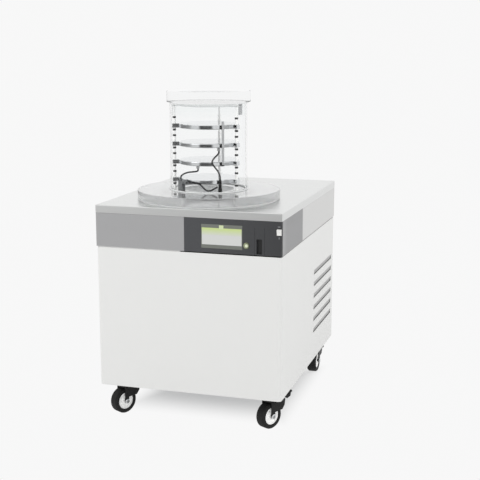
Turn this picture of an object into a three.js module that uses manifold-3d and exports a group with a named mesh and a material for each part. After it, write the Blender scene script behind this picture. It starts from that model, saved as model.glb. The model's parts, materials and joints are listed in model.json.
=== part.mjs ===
// A floor-standing laboratory freeze dryer on four castors: a sheet-metal cabinet with the refrigeration
// unit, an ice condenser sunk in the worktop, and a clear drying chamber with four heated shelves on top.
// Millimetres, +Z up, the front faces -Y. The origin is on the floor, under the middle of the outer box.

import * as THREE from 'three';
import { mergeVertices } from 'three/addons/utils/BufferGeometryUtils.js';
import ManifoldModule from 'manifold-3d';

const manifold = await ManifoldModule();
manifold.setup();

// ---- Driving dimensions -------------------------------------------------------------------------

// Cabinet, measured about its own centre line before the whole is shifted onto the origin.
const WIDTH = 600;
const DEPTH = 770;
const CASTOR_HEIGHT = 120;
const BODY_HEIGHT = 583;
const BAND_HEIGHT = 130;
const LIP_HEIGHT = 24;
const TOP_Z = CASTOR_HEIGHT + BODY_HEIGHT;
const BAND_Z = TOP_Z - BAND_HEIGHT;
const LIP_Z = TOP_Z - LIP_HEIGHT;
const HALF_W = WIDTH / 2;
const HALF_D = DEPTH / 2;

const GAP = 0.3; // clearance between pieces that meet
const ROUND = 28; // sides of the large round pieces
const SHEET = 2; // cabinet sheet
const WORKTOP_SHEET = 3;
const SHADOW_GAP = 3; // open joint between head and body
const TRAY_FLOOR = 3; // floor of the base frame
const LIP_SHEET = 2; // turned-down lip of the worktop
const BODY_INSET = 1; // body skin behind the lip
const FASCIA_INSET = 0.5; // head skin behind the lip
const FASCIA_SHEET = 2;
const CORNER_R = 10; // rounded upright corners of the body
const SEAM_Y = HALF_D - 15; // where the side panels meet the wrapped ends
const SKIN_X = HALF_W - BODY_INSET;
const SKIN_Y = HALF_D - BODY_INSET;
const SKIN_TOP = BAND_Z - SHADOW_GAP;
const TRAY_HEIGHT = 40;
const FASCIA_X = HALF_W - FASCIA_INSET;
const FASCIA_Y = HALF_D - FASCIA_INSET;
const FASCIA_END_Y = -118; // the dark front fascia ends here on both sides

// Front panel of controls.
const PANEL = { x0: -8, x1: 299.7, z0: BAND_Z + GAP, z1: LIP_Z - GAP, depth: 11 };
const PANEL_BACK = -HALF_D + PANEL.depth;
const DISPLAY = { x: 112, z: 624, width: 130, height: 74, depth: 3 };
const BUTTON = { x: 190, z: 601, radius: 7, proud: 2.5 };
const SLOT = { x: 229.5, z: 599.5, width: 17, height: 45, depth: 8 };
const SWITCH = { x: 290.5, z: 646, width: 15, radius: 10.4, pivotDepth: 5.5, tilt: 9 };

// Louvres of the right side.
const LOUVRE = { count: 6, y0: 62, y1: 347, z0: 225, pitch: 41, height: 18, drop: 24, reach: 4.5, sheet: 1.5 };

// Ice condenser and drying chamber, both about one upright axis.
const CHAMBER_X = -5;
const CHAMBER_Y = -150;
const VESSEL = { outer: 153, inner: 150.5, flange: 175, flangeSheet: 2, depth: 240 };
const DISC = { radius: 230, bore: 80, lift: 4, height: 28, bevel: 2 };
const DISC_Z = TOP_Z + DISC.lift;
const DISC_TOP = DISC_Z + DISC.height;
const DRUM = { outer: 124, inner: 118, seal: [116, 127], z0: DISC_TOP + 3, z1: TOP_Z + 307 };
const LID = { radius: 133.5, z0: TOP_Z + 310, height: 36, bevel: 2.5 };

// Shelf rack inside the chamber.
const SHELF = { radius: 96, sheet: 13, levels: [63, 120.5, 178, 235.5] };
const ROD = { circle: 110, radius: 3, sleeve: 4.7, sleeveUp: 29.5, sleeveDown: 16, foot: 5, top: TOP_Z + 304 };
const ROD_ANGLES = { left: 199.6, right: -19.6, rear: 90 };
const LUG = { width: 16, reach: 116.5, hole: 5.4 };
const TOP_PLATE = { radius: 92, z: TOP_Z + 298, sheet: 3 };
const PLUG = { x: 64, y: -83, radius: 6, height: 42 };
const BLOCK = { circle: 104, angle: 231.9, width: 22, depth: 13, height: 32 };
const GLAND = { radius: 6.5, length: 18, height: 30 };
const LEAD_R = 2.5;

// Castors: local frame on the floor under the stem, the wheel trails towards local -X.
const CASTOR = { x: 248, frontY: -280, rearY: 324, trail: 20, wheelR: 42, wheelW: 34, hubR: 28, hubW: 30 };
const FRONT_SWIVEL = 60; // degrees
const REAR_SWIVEL = 90;
const FORK = { headR: 34, headZ: 88, sheet: 3, inside: 19, axleR: 5 };
const PLATE = { length: 96, width: 80, sheet: 3 };
const PEDAL = { pivotX: 41, pivotZ: 97, width: 30, flare: 38, reach: 26, sheet: 4, barrel: 4.2, pin: 2.2 };

// Refrigeration unit.
const COIL = { radius: 136, turns: 4, pitch: 42, lift: 40, tube: 5, bar: 4 };
const COMPRESSOR = { x: -120, y: 150, radius: 88, top: 330, plateX: 105, plateY: 55, footX: 92, footY: 42 };
const EXCHANGER = { x0: 236, x1: 276, y0: 75, y1: 335, z0: 150, z1: 430, fins: 11, groove: 16 };
const FAN = { x: 211, y: 205, z: 290, radius: 107, duct: 115, shaft: 4, motor: 36 };
const BLADES = { count: 5, pitch: 28, hub: 28 };
const SUCTION_R = 6;
const DISCHARGE_R = 5;
const DRIER = { offset: 46, z: 240, radius: 13, neck: 7 };
const VACUUM = { x: 60, z: 520, outer: 22, inner: 20, flange: 27.5, flangeSheet: 4 };
const DRAIN_Z = 385;
const INLET = { x: 200, z: 200, width: 48, height: 30, depth: 28, rim: 3 };
const INLET_HOLE = { halfX: 14, halfZ: 10, pinPitch: 8 };

const FRONT_REACH = HALF_D + BUTTON.proud;
const REAR_REACH = HALF_D + 20;

// ---- Finishes -----------------------------------------------------------------------------------

const finish = (color, roughness, metalness = 0, extra = {}) =>
  new THREE.MeshStandardMaterial({ color, roughness, metalness, ...extra });

const FINISH = {
  whitePaint: finish(0xe6e6e3, 0.45),
  darkFascia: finish(0x9a9a9a, 0.4, 0.3),
  lightFascia: finish(0xcfcfcd, 0.4, 0.3),
  steel: finish(0xd8d9d8, 0.22, 0.9),
  anthracite: finish(0x3b3c3e, 0.5),
  screen: finish(0xdfe2dd, 0.2),
  whitePlastic: finish(0xf2f2ee, 0.35),
  blackPlastic: finish(0x1b1b1c, 0.5),
  greyPlastic: finish(0x8a8c8e, 0.5),
  acrylic: finish(0xf3f7f7, 0.05, 0, { transparent: true, opacity: 0.3 }),
  rubber: finish(0x232324, 0.8),
  hub: finish(0xd9dad8, 0.45),
  galvanised: finish(0xa9adb0, 0.45, 0.8),
  copper: finish(0xb87344, 0.3, 0.9),
  fins: finish(0xb9bcbf, 0.4, 0.8),
};

// ---- Geometry helpers ---------------------------------------------------------------------------

// Welds a geometry, drops collapsed triangles, turns its faces outwards and returns it as a solid.
function toSolid(geometry) {
  const bare = new THREE.BufferGeometry();
  bare.setAttribute('position', geometry.getAttribute('position'));
  bare.setIndex(geometry.index);
  const welded = mergeVertices(bare, 1e-4);
  const position = welded.getAttribute('position').array;
  const corners = welded.index.array;
  const kept = [];
  let volume = 0;
  const [a, b, c] = [new THREE.Vector3(), new THREE.Vector3(), new THREE.Vector3()];
  for (let i = 0; i < corners.length; i += 3) {
    const [p, q, r] = [corners[i], corners[i + 1], corners[i + 2]];
    if (p === q || q === r || r === p) continue;
    kept.push(p, q, r);
    a.fromArray(position, 3 * p);
    b.fromArray(position, 3 * q);
    c.fromArray(position, 3 * r);
    volume += a.dot(b.cross(c));
  }
  if (volume < 0) kept.reverse();
  return new manifold.Manifold(
    new manifold.Mesh({ numProp: 3, vertProperties: position, triVerts: new Uint32Array(kept) }),
  );
}

function fromSolid(solid) {
  const { vertProperties, triVerts } = solid.getMesh();
  const geometry = new THREE.BufferGeometry();
  geometry.setAttribute('position', new THREE.BufferAttribute(vertProperties, 3));
  geometry.setIndex(new THREE.BufferAttribute(triVerts, 1));
  geometry.computeVertexNormals();
  return geometry;
}

const join = (...pieces) => fromSolid(pieces.map(toSolid).reduce((whole, piece) => whole.add(piece)));
function cut(body, ...tools) {
  return fromSolid(tools.map(toSolid).reduce((rest, tool) => rest.subtract(tool), toSolid(body)));
}
const common = (body, tool) => fromSolid(toSolid(body).intersect(toSolid(tool)));

// A block between two opposite corners.
function block(x0, x1, y0, y1, z0, z1) {
  const box = new THREE.BoxGeometry(x1 - x0, y1 - y0, z1 - z0);
  return box.translate((x0 + x1) / 2, (y0 + y1) / 2, (z0 + z1) / 2);
}

// An upright round bar.
function post(x, y, z0, z1, radius, sides = 16) {
  const bar = new THREE.CylinderGeometry(radius, radius, z1 - z0, sides);
  return bar.rotateX(Math.PI / 2).translate(x, y, (z0 + z1) / 2);
}

// Round bars along X and along Y.
function barX(x0, x1, y, z, radius, sides = 16) {
  const bar = new THREE.CylinderGeometry(radius, radius, x1 - x0, sides);
  return bar.rotateZ(Math.PI / 2).translate((x0 + x1) / 2, y, z);
}

function barY(x, y0, y1, z, radius, sides = 16) {
  const bar = new THREE.CylinderGeometry(radius, radius, y1 - y0, sides);
  return bar.translate(x, (y0 + y1) / 2, z);
}

// A shape turned about the Z axis from points [radius, z]; a closed ring repeats its first point.
function turned(points, sides, x = 0, y = 0) {
  const profile = points.map(([radius, z]) => new THREE.Vector2(radius, z));
  return new THREE.LatheGeometry(profile, sides).rotateX(Math.PI / 2).translate(x, y, 0);
}

const ring = (inner, outer, z0, z1, sides, x = 0, y = 0) =>
  turned([[inner, z0], [outer, z0], [outer, z1], [inner, z1], [inner, z0]], sides, x, y);

// An outline in the XY plane raised from z0 to z1.
function raised(shape, z0, z1, curveSegments = 4) {
  const options = { depth: z1 - z0, bevelEnabled: false, curveSegments };
  return new THREE.ExtrudeGeometry(shape, options).translate(0, 0, z0);
}

// An outline in the XZ plane carried along Y from y0 to y1.
function raisedY(shape, y0, y1, curveSegments = 4) {
  const options = { depth: y1 - y0, bevelEnabled: false, curveSegments };
  return new THREE.ExtrudeGeometry(shape, options).rotateX(Math.PI / 2).translate(0, y1, 0);
}

function roundedRectangle(halfX, halfY, radius) {
  const shape = new THREE.Shape();
  shape.moveTo(halfX, -halfY + radius);
  shape.lineTo(halfX, halfY - radius);
  shape.absarc(halfX - radius, halfY - radius, radius, 0, Math.PI / 2);
  shape.absarc(-halfX + radius, halfY - radius, radius, Math.PI / 2, Math.PI);
  shape.absarc(-halfX + radius, -halfY + radius, radius, Math.PI, 1.5 * Math.PI);
  shape.absarc(halfX - radius, -halfY + radius, radius, 1.5 * Math.PI, 2 * Math.PI);
  return shape;
}

// A round tube or wire along a list of points.
function swept(points, radius, sides, steps) {
  const places = points.map((point) => new THREE.Vector3(...point));
  const path = new THREE.CatmullRomCurve3(places, false, 'centripetal');
  return sweptAlong(path, radius, sides, steps);
}

function sweptAlong(path, radius, sides, steps) {
  const section = new THREE.Shape();
  for (let i = 0; i < sides; i += 1) {
    const angle = (2 * Math.PI * i) / sides;
    const point = [radius * Math.cos(angle), radius * Math.sin(angle)];
    if (i === 0) section.moveTo(...point);
    else section.lineTo(...point);
  }
  return new THREE.ExtrudeGeometry(section, { steps, extrudePath: path, curveSegments: 1 });
}

const radians = THREE.MathUtils.degToRad;
const polar = (radius, degrees) => [radius * Math.cos(radians(degrees)), radius * Math.sin(radians(degrees))];

// A named piece; its geometry is welded into one closed solid with its faces outwards.
function piece(name, geometry, material) {
  const mesh = new THREE.Mesh(fromSolid(toSolid(geometry)), material);
  mesh.name = name;
  return mesh;
}

function group(...members) {
  const holder = new THREE.Group();
  holder.add(...members);
  return holder;
}

// ---- Cabinet ------------------------------------------------------------------------------------

// The body skin as one closed ring, with a joggled tongue that runs up behind the head.
function bodySkin() {
  const wall = (offset, thickness, z0, z1) => {
    const outer = roundedRectangle(SKIN_X - offset, SKIN_Y - offset, CORNER_R - offset);
    const inset = offset + thickness;
    outer.holes.push(roundedRectangle(SKIN_X - inset, SKIN_Y - inset, CORNER_R - inset));
    return raised(outer, z0, z1);
  };
  const tongueOffset = SHEET - 0.2;
  const tongueHeight = 20;
  return join(
    wall(0, SHEET, CASTOR_HEIGHT, SKIN_TOP),
    wall(tongueOffset, SHEET, SKIN_TOP - tongueHeight, SKIN_TOP + tongueHeight),
  );
}

const beyond = WIDTH; // anything past the cabinet

// The front has no tongue behind the control panel, whose pocket needs the room.
function frontPanel() {
  const wrapped = common(bodySkin(), block(-beyond, beyond, -beyond, -SEAM_Y - GAP, 0, TOP_Z));
  return cut(wrapped, block(PANEL.x0 - 14, beyond, -beyond, 0, SKIN_TOP, TOP_Z));
}

function rearPanel() {
  const wrapped = common(bodySkin(), block(-beyond, beyond, SEAM_Y + GAP, beyond, 0, TOP_Z));
  const vents = [];
  for (let i = 0; i < 5; i += 1) {
    const z = 200 + 30 * i;
    vents.push(block(-215, -45, SKIN_Y - 5, beyond, z, z + 10));
  }
  const halfW = INLET.width / 2 + GAP;
  const halfH = INLET.height / 2 + GAP;
  return cut(
    wrapped,
    ...vents,
    barY(VACUUM.x, SKIN_Y - 10, beyond, VACUUM.z, VACUUM.outer + 1, 14),
    barY(CHAMBER_X, SKIN_Y - 10, beyond, DRAIN_Z, 8.5, 8),
    block(INLET.x - halfW, INLET.x + halfW, SKIN_Y - 10, beyond, INLET.z - halfH, INLET.z + halfH),
  );
}

function leftSidePanel() {
  return common(bodySkin(), block(-beyond, 0, -SEAM_Y, SEAM_Y, 0, TOP_Z));
}

// Six slots, each with a blade folded inwards and down from its upper edge.
function rightSidePanel() {
  const { count, y0, y1, z0, pitch, height, drop, reach, sheet } = LOUVRE;
  const inside = SKIN_X - SHEET;
  const plain = common(bodySkin(), block(0, beyond, -SEAM_Y, SEAM_Y, 0, TOP_Z));
  const slots = [];
  const blades = [];
  for (let i = 0; i < count; i += 1) {
    const top = z0 + pitch * i + height / 2;
    slots.push(block(inside - 1, SKIN_X + 1, y0, y1, top - height, top));
    const section = new THREE.Shape();
    section.moveTo(inside + SHEET, top);
    section.lineTo(inside + SHEET, top + sheet);
    section.lineTo(inside, top + sheet);
    section.lineTo(inside - reach, top - drop);
    section.lineTo(inside - reach + sheet, top - drop);
    blades.push(raisedY(section, y0 - 1, y1 + 1));
  }
  return join(cut(plain, ...slots), ...blades);
}

function baseFrame() {
  const clearance = SHEET + 2 * GAP;
  const outline = (inset) => roundedRectangle(SKIN_X - inset, SKIN_Y - inset, CORNER_R - inset);
  const top = CASTOR_HEIGHT + TRAY_HEIGHT;
  const tray = cut(
    raised(outline(clearance), CASTOR_HEIGHT, top),
    raised(outline(clearance + SHEET), CASTOR_HEIGHT + TRAY_FLOOR, top + 1),
  );
  const drainHoles = [-150, 150].map((y) => post(0, y, CASTOR_HEIGHT - 1, CASTOR_HEIGHT + 4, 12, 8));
  return cut(tray, ...drainHoles);
}

function worktop() {
  const insideX = HALF_W - LIP_SHEET;
  const insideY = HALF_D - LIP_SHEET;
  const shell = cut(
    block(-HALF_W, HALF_W, -HALF_D, HALF_D, LIP_Z, TOP_Z),
    block(-insideX, insideX, -insideY, insideY, LIP_Z - 1, TOP_Z - WORKTOP_SHEET),
  );
  return cut(shell, post(CHAMBER_X, CHAMBER_Y, LIP_Z, TOP_Z + 1, VESSEL.outer + 4, ROUND));
}

// The dark fascia: left front wall, a pressed pocket behind the control panel, and two side returns.
function frontFascia() {
  const inner = FASCIA_X - FASCIA_SHEET;
  const pocketX = PANEL.x0 - GAP;
  const pocketFront = PANEL_BACK + GAP;
  const pocketBack = pocketFront + FASCIA_SHEET;
  const outline = new THREE.Shape();
  outline.moveTo(-FASCIA_X, FASCIA_END_Y);
  outline.lineTo(-FASCIA_X, -FASCIA_Y);
  outline.lineTo(pocketX, -FASCIA_Y);
  outline.lineTo(pocketX, pocketFront);
  outline.lineTo(FASCIA_X, pocketFront);
  outline.lineTo(FASCIA_X, FASCIA_END_Y);
  outline.lineTo(inner, FASCIA_END_Y);
  outline.lineTo(inner, pocketBack);
  outline.lineTo(pocketX - FASCIA_SHEET, pocketBack);
  outline.lineTo(pocketX - FASCIA_SHEET, -FASCIA_Y + FASCIA_SHEET);
  outline.lineTo(-inner, -FASCIA_Y + FASCIA_SHEET);
  outline.lineTo(-inner, FASCIA_END_Y);
  const cable = block(
    DISPLAY.x - 40, DISPLAY.x + 40, PANEL_BACK, PANEL_BACK + 9, DISPLAY.z - 15, DISPLAY.z + 15,
  );
  return cut(raised(outline, BAND_Z, LIP_Z - GAP), cable);
}

function rearBand() {
  const [z0, z1] = [BAND_Z, LIP_Z - GAP];
  const inner = FASCIA_X - FASCIA_SHEET;
  const start = FASCIA_END_Y + GAP;
  return cut(
    block(-FASCIA_X, FASCIA_X, start, FASCIA_Y, z0, z1),
    block(-inner, inner, start - 1, FASCIA_Y - FASCIA_SHEET, z0 - 1, z1 + 1),
  );
}

function cabinet() {
  return group(
    piece('base_frame', baseFrame(), FINISH.galvanised),
    piece('front_panel', frontPanel(), FINISH.whitePaint),
    piece('left_side_panel', leftSidePanel(), FINISH.whitePaint),
    piece('right_side_panel', rightSidePanel(), FINISH.whitePaint),
    piece('rear_panel', rearPanel(), FINISH.whitePaint),
    piece('worktop', worktop(), FINISH.steel),
    piece('front_fascia', frontFascia(), FINISH.darkFascia),
    piece('rear_band', rearBand(), FINISH.lightFascia),
  );
}

// ---- Controls -----------------------------------------------------------------------------------

const front = -HALF_D;

function controlPanel() {
  const { x0, x1, z0, z1 } = PANEL;
  const body = block(x0, x1, front, PANEL_BACK, z0, z1);
  const halfW = DISPLAY.width / 2 + GAP;
  const halfH = DISPLAY.height / 2 + GAP;
  const window = block(
    DISPLAY.x - halfW, DISPLAY.x + halfW, front - 1, front + DISPLAY.depth,
    DISPLAY.z - halfH, DISPLAY.z + halfH,
  );
  const cable = block(DISPLAY.x - 30, DISPLAY.x + 30, front, PANEL_BACK + 1, DISPLAY.z - 10, DISPLAY.z + 10);
  const button = barY(BUTTON.x, front - 1, PANEL_BACK + 1, BUTTON.z, BUTTON.radius + GAP, 24);
  const slot = block(
    SLOT.x - SLOT.width / 2, SLOT.x + SLOT.width / 2, front - 1, front + SLOT.depth,
    SLOT.z - SLOT.height / 2, SLOT.z + SLOT.height / 2,
  );
  const reach = SWITCH.radius + GAP;
  const halfSwitch = SWITCH.width / 2 + GAP;
  const rocker = block(
    SWITCH.x - halfSwitch, SWITCH.x + halfSwitch, front - 1, PANEL_BACK + 1,
    SWITCH.z - reach, SWITCH.z + reach,
  );
  const seams = [215.5, 246].map((x) => block(x - 0.5, x + 0.5, front - 1, front + 0.8, z0 - 1, z1 - 22));
  return cut(body, window, cable, button, slot, rocker, ...seams);
}

function display() {
  const halfW = DISPLAY.width / 2;
  const halfH = DISPLAY.height / 2;
  return block(
    DISPLAY.x - halfW, DISPLAY.x + halfW, front - GAP, front + DISPLAY.depth - GAP,
    DISPLAY.z - halfH, DISPLAY.z + halfH,
  );
}

// A round cap that slides in a bore right through the panel.
function pushButton() {
  return barY(BUTTON.x, front - BUTTON.proud, PANEL_BACK - 2, BUTTON.z, BUTTON.radius, 24);
}

// The rocker about its own pivot: ends on one arc, so it turns inside its hole, and a shallow V front.
function rockerShape() {
  const { radius, pivotDepth, tilt } = SWITCH;
  const rise = pivotDepth + 1.2;
  const shape = new THREE.Shape();
  const top = Math.sqrt(radius * radius - rise * rise);
  shape.moveTo(-rise, top);
  shape.lineTo(-rise + Math.tan(radians(tilt)) * top, 0);
  shape.lineTo(-rise, -top);
  shape.absarc(0, 0, radius, Math.atan2(-top, -rise), Math.atan2(-radius, 2));
  shape.lineTo(3, -radius * 0.5);
  shape.lineTo(3, radius * 0.5);
  shape.absarc(0, 0, radius, Math.atan2(radius, 2), Math.atan2(top, -rise));
  return shape;
}

function rocker() {
  const options = { depth: SWITCH.width, bevelEnabled: false, curveSegments: 4 };
  const body = new THREE.ExtrudeGeometry(rockerShape(), options).translate(0, 0, -SWITCH.width / 2);
  // The outline's first axis becomes Y, its second Z, and its depth X.
  const turn = new THREE.Matrix4().makeBasis(
    new THREE.Vector3(0, 1, 0), new THREE.Vector3(0, 0, 1), new THREE.Vector3(1, 0, 0),
  );
  return body.applyMatrix4(turn);
}

function controls() {
  const rockerMesh = piece('main_switch', rocker(), FINISH.whitePlastic);
  const holder = group(rockerMesh);
  holder.position.set(SWITCH.x, front + SWITCH.pivotDepth, SWITCH.z);
  holder.rotation.x = radians(SWITCH.tilt);
  return group(
    piece('control_panel', controlPanel(), FINISH.anthracite),
    piece('display', display(), FINISH.screen),
    piece('push_button', pushButton(), FINISH.whitePlastic),
    holder,
  );
}

// ---- Ice condenser and refrigeration ------------------------------------------------------------

const VESSEL_FLOOR = TOP_Z - VESSEL.depth;

function condenserVessel() {
  const { outer, inner, flange, flangeSheet } = VESSEL;
  const wall = outer - inner;
  const pot = turned(
    [
      [flange, TOP_Z],
      [flange, TOP_Z + flangeSheet],
      [inner, TOP_Z + flangeSheet],
      [inner, VESSEL_FLOOR + wall + 8],
      [8, VESSEL_FLOOR + wall],
      [8, VESSEL_FLOOR],
      [outer, VESSEL_FLOOR + 8],
      [outer, TOP_Z],
      [flange, TOP_Z],
    ],
    ROUND, CHAMBER_X, CHAMBER_Y,
  );
  return cut(pot, barY(VACUUM.x, CHAMBER_Y, 60, VACUUM.z, VACUUM.inner, 12));
}

// The evaporator: one helix of tube brazed to three upright bars that stand on the vessel's floor.
class Helix extends THREE.Curve {
  constructor(radius, z0, pitch, turns) {
    super();
    Object.assign(this, { radius, z0, pitch, turns });
  }

  getPoint(t, target = new THREE.Vector3()) {
    const angle = 2 * Math.PI * this.turns * t;
    return target.set(
      this.radius * Math.cos(angle), this.radius * Math.sin(angle), this.z0 + this.pitch * this.turns * t,
    );
  }
}

function condenserCoil() {
  const { radius, turns, pitch, lift, tube, bar } = COIL;
  const helix = new Helix(radius, VESSEL_FLOOR + lift, pitch, turns);
  const coil = sweptAlong(helix, tube, 6, turns * 12).translate(CHAMBER_X, CHAMBER_Y, 0);
  const bars = [30, 150, 270].map((degrees) => {
    const [x, y] = polar(radius + tube + 1, degrees);
    return post(CHAMBER_X + x, CHAMBER_Y + y, VESSEL_FLOOR + 11, TOP_Z - 10, bar, 8);
  });
  return join(coil, ...bars);
}

function compressor() {
  const { x, y, radius, top, plateX, plateY, footX, footY } = COMPRESSOR;
  const floor = CASTOR_HEIGHT + TRAY_FLOOR;
  const shell = turned(
    [
      [0, floor + 14], [radius * 0.7, floor + 18], [radius, floor + 54], [radius, top - 50],
      [radius * 0.7, top - 10], [0, top],
    ],
    20, x, y,
  );
  const plate = block(x - plateX, x + plateX, y - plateY, y + plateY, floor + 12, floor + 16);
  const corners = [[-footX, -footY], [footX, -footY], [footX, footY], [-footX, footY]];
  const feet = corners.map(([dx, dy]) => post(x + dx, y + dy, floor, floor + 14, 9, 8));
  const terminals = block(x - 30, x + 30, y - radius - 16, y - radius + 8, 190, 250);
  return join(shell, plate, terminals, ...feet);
}

// A finned block: upright fins from both faces of a thin core.
function heatExchanger() {
  const { x0, x1, y0, y1, z0, z1, fins, groove } = EXCHANGER;
  const pitch = (y1 - y0) / (2 * fins - 1);
  const grooves = [];
  for (let i = 0; i < fins - 1; i += 1) {
    const y = y0 + pitch * (2 * i + 1);
    grooves.push(block(x0 - 1, x0 + groove, y, y + pitch, z0 + 12, z1 - 12));
    grooves.push(block(x1 - groove, x1 + 1, y, y + pitch, z0 + 12, z1 - 12));
  }
  const floor = CASTOR_HEIGHT + TRAY_FLOOR;
  const feet = [y0 + 20, y1 - 40].map((y) => block(x0 + 5, x1 - 5, y, y + 20, floor, z0 + 1));
  return join(cut(block(x0, x1, y0, y1, z0, z1), ...grooves), ...feet);
}

// A square plate with a round duct, and the motor held in it by three struts.
function fanShroud() {
  const { y, z, duct, shaft, motor } = FAN;
  const back = EXCHANGER.x0 - GAP;
  const plate = block(back - 4, back, EXCHANGER.y0, EXCHANGER.y1, EXCHANGER.z0, EXCHANGER.z1);
  const sleeve = barX(180, back - 2, y, z, duct + 4, 24);
  const bore = barX(150, back + 10, y, z, duct, 24);
  const can = barX(148, 188, y, z, motor, 12);
  const struts = [90, 210, 330].map((degrees) => {
    const bar = new THREE.BoxGeometry(8, 84, 12);
    return bar.translate(184.5, motor + 40, 0).rotateX(radians(degrees)).translate(0, y, z);
  });
  return cut(join(cut(join(plate, sleeve), bore), can, ...struts), barX(170, 200, y, z, shaft + 2 * GAP, 8));
}

// Hub, shaft and pitched blades.
function fanRotor() {
  const { x, y, z, radius, shaft } = FAN;
  const { count, pitch, hub: hubR } = BLADES;
  const root = hubR - 6;
  const blades = [];
  for (let i = 0; i < count; i += 1) {
    const blade = new THREE.BoxGeometry(3, 52, radius - root);
    blade.rotateZ(radians(pitch)).translate(0, 0, root + (radius - root) / 2);
    blades.push(blade.rotateX((2 * Math.PI * i) / count).translate(x, y, z));
  }
  const turning = join(barX(x - 14, x + 12, y, z, hubR, 12), barX(174, x, y, z, shaft, 8), ...blades);
  return common(turning, barX(150, 232, y, z, radius, 24));
}

// Suction line from the compressor's top to the vessel's wall.
function suctionPipe() {
  const { x, y, top } = COMPRESSOR;
  const [dx, dy] = [x - CHAMBER_X, y - CHAMBER_Y];
  const length = Math.hypot(dx, dy);
  const onWay = (distance, z) => [
    CHAMBER_X + (dx / length) * distance, CHAMBER_Y + (dy / length) * distance, z,
  ];
  const wall = VESSEL.outer + GAP;
  const points = [
    [x, y, top + 1], [x, y, top + 60], onWay(wall + 110, 470), onWay(wall + 50, 500), onWay(wall, 500),
  ];
  return swept(points, SUCTION_R, 6, 14);
}

// Discharge line from the compressor's side to the finned block, with the filter drier brazed in.
function dischargePipe() {
  const { x, y, radius } = COMPRESSOR;
  const start = x + radius + 1;
  const { offset, z, radius: wide, neck } = DRIER;
  const drier = turned([[0, -30], [neck, -28], [wide, -20], [wide, 20], [neck, 28], [0, 30]], 8);
  drier.rotateY(Math.PI / 2).translate(start + offset, y, z);
  const route = [
    [start, y, z], [start + 30, y, z], [start + 75, y, z], [start + 115, y + 20, z + 40], [110, 260, 400],
    [150, 310, 460], [215, 318, 470], [252, 318, 462], [256, 318, EXCHANGER.z1 + 1],
  ];
  return join(swept(route, DISCHARGE_R, 6, 22), drier);
}

function mainsInlet() {
  const { x, z, width, height, depth, rim } = INLET;
  const around = (reachX, reachZ, y0, y1) => block(x - reachX, x + reachX, y0, y1, z - reachZ, z + reachZ);
  const body = join(
    around(width / 2, height / 2, SKIN_Y - depth, SKIN_Y + 1),
    around(width / 2 + rim, height / 2 + rim, SKIN_Y + GAP, SKIN_Y + 3),
  );
  const socket = around(INLET_HOLE.halfX, INLET_HOLE.halfZ, SKIN_Y - 18, SKIN_Y + 5);
  const pins = [-INLET_HOLE.pinPitch, 0, INLET_HOLE.pinPitch].map((dx) => {
    const middle = z + (dx === 0 ? 3 : -3);
    return block(x + dx - 1, x + dx + 1, SKIN_Y - 19, SKIN_Y - 4, middle - 2, middle + 2);
  });
  return join(cut(body, socket), ...pins);
}

// A stub for the vacuum pump's hose, from the vessel's wall out through the rear.
function vacuumPort() {
  const { x, z, outer, inner, flange, flangeSheet } = VACUUM;
  const body = join(
    barY(x, CHAMBER_Y + 100, REAR_REACH, z, outer, 12),
    barY(x, REAR_REACH - flangeSheet, REAR_REACH, z, flange, 12),
    barY(x, SKIN_Y + GAP, SKIN_Y + flangeSheet, z, flange, 12),
  );
  const vessel = post(CHAMBER_X, CHAMBER_Y, VESSEL_FLOOR - 10, TOP_Z, VESSEL.outer + GAP, ROUND);
  return cut(body, vessel, barY(x, CHAMBER_Y, REAR_REACH + 1, z, inner, 12));
}

function drainSpout() {
  const floor = VESSEL_FLOOR - GAP;
  const route = [
    [CHAMBER_X, CHAMBER_Y, floor], [CHAMBER_X, CHAMBER_Y, floor - 30],
    [CHAMBER_X, CHAMBER_Y + 40, floor - 62],
    [CHAMBER_X, 60, DRAIN_Z + 6], [CHAMBER_X, 300, DRAIN_Z], [CHAMBER_X, SKIN_Y, DRAIN_Z],
  ];
  const barb = turned(
    [[0, -12], [7, -12], [7, 0.4], [13, 0.4], [13, 4], [6.5, 4], [8, 12], [6, 20], [0, 20]],
    8,
  );
  barb.rotateX(-Math.PI / 2).translate(CHAMBER_X, SKIN_Y, DRAIN_Z);
  const bore = barY(CHAMBER_X, SKIN_Y - 8, SKIN_Y + 21, DRAIN_Z, 4.5, 6);
  return cut(join(swept(route, 7, 6, 12), barb), bore);
}

function machinery() {
  return group(
    piece('condenser_vessel', condenserVessel(), FINISH.steel),
    piece('condenser_coil', condenserCoil(), FINISH.steel),
    piece('compressor', compressor(), FINISH.blackPlastic),
    piece('heat_exchanger', heatExchanger(), FINISH.fins),
    piece('fan_shroud', fanShroud(), FINISH.galvanised),
    piece('fan_rotor', fanRotor(), FINISH.blackPlastic),
    piece('suction_pipe', suctionPipe(), FINISH.copper),
    piece('discharge_pipe', dischargePipe(), FINISH.copper),
    piece('mains_inlet', mainsInlet(), FINISH.blackPlastic),
    piece('vacuum_port', vacuumPort(), FINISH.steel),
    piece('drain_spout', drainSpout(), FINISH.greyPlastic),
  );
}

// ---- Drying chamber (local frame on the chamber's axis) -----------------------------------------

function chamberDisc() {
  const { radius, bore, bevel } = DISC;
  return turned(
    [
      [bore, DISC_Z], [radius, DISC_Z], [radius, DISC_TOP - bevel], [radius - bevel, DISC_TOP],
      [bore, DISC_TOP], [bore, DISC_Z],
    ],
    36,
  );
}

// Lies on the worktop and on the vessel's flange, and carries the disc.
function vesselGasket() {
  const { inner, flange, flangeSheet } = VESSEL;
  const step = flange + GAP;
  return turned(
    [
      [inner + 2, TOP_Z + flangeSheet], [step, TOP_Z + flangeSheet], [step, TOP_Z], [DISC.radius - 5, TOP_Z],
      [DISC.radius - 5, DISC_Z], [inner + 2, DISC_Z], [inner + 2, TOP_Z + flangeSheet],
    ],
    ROUND,
  );
}

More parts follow.
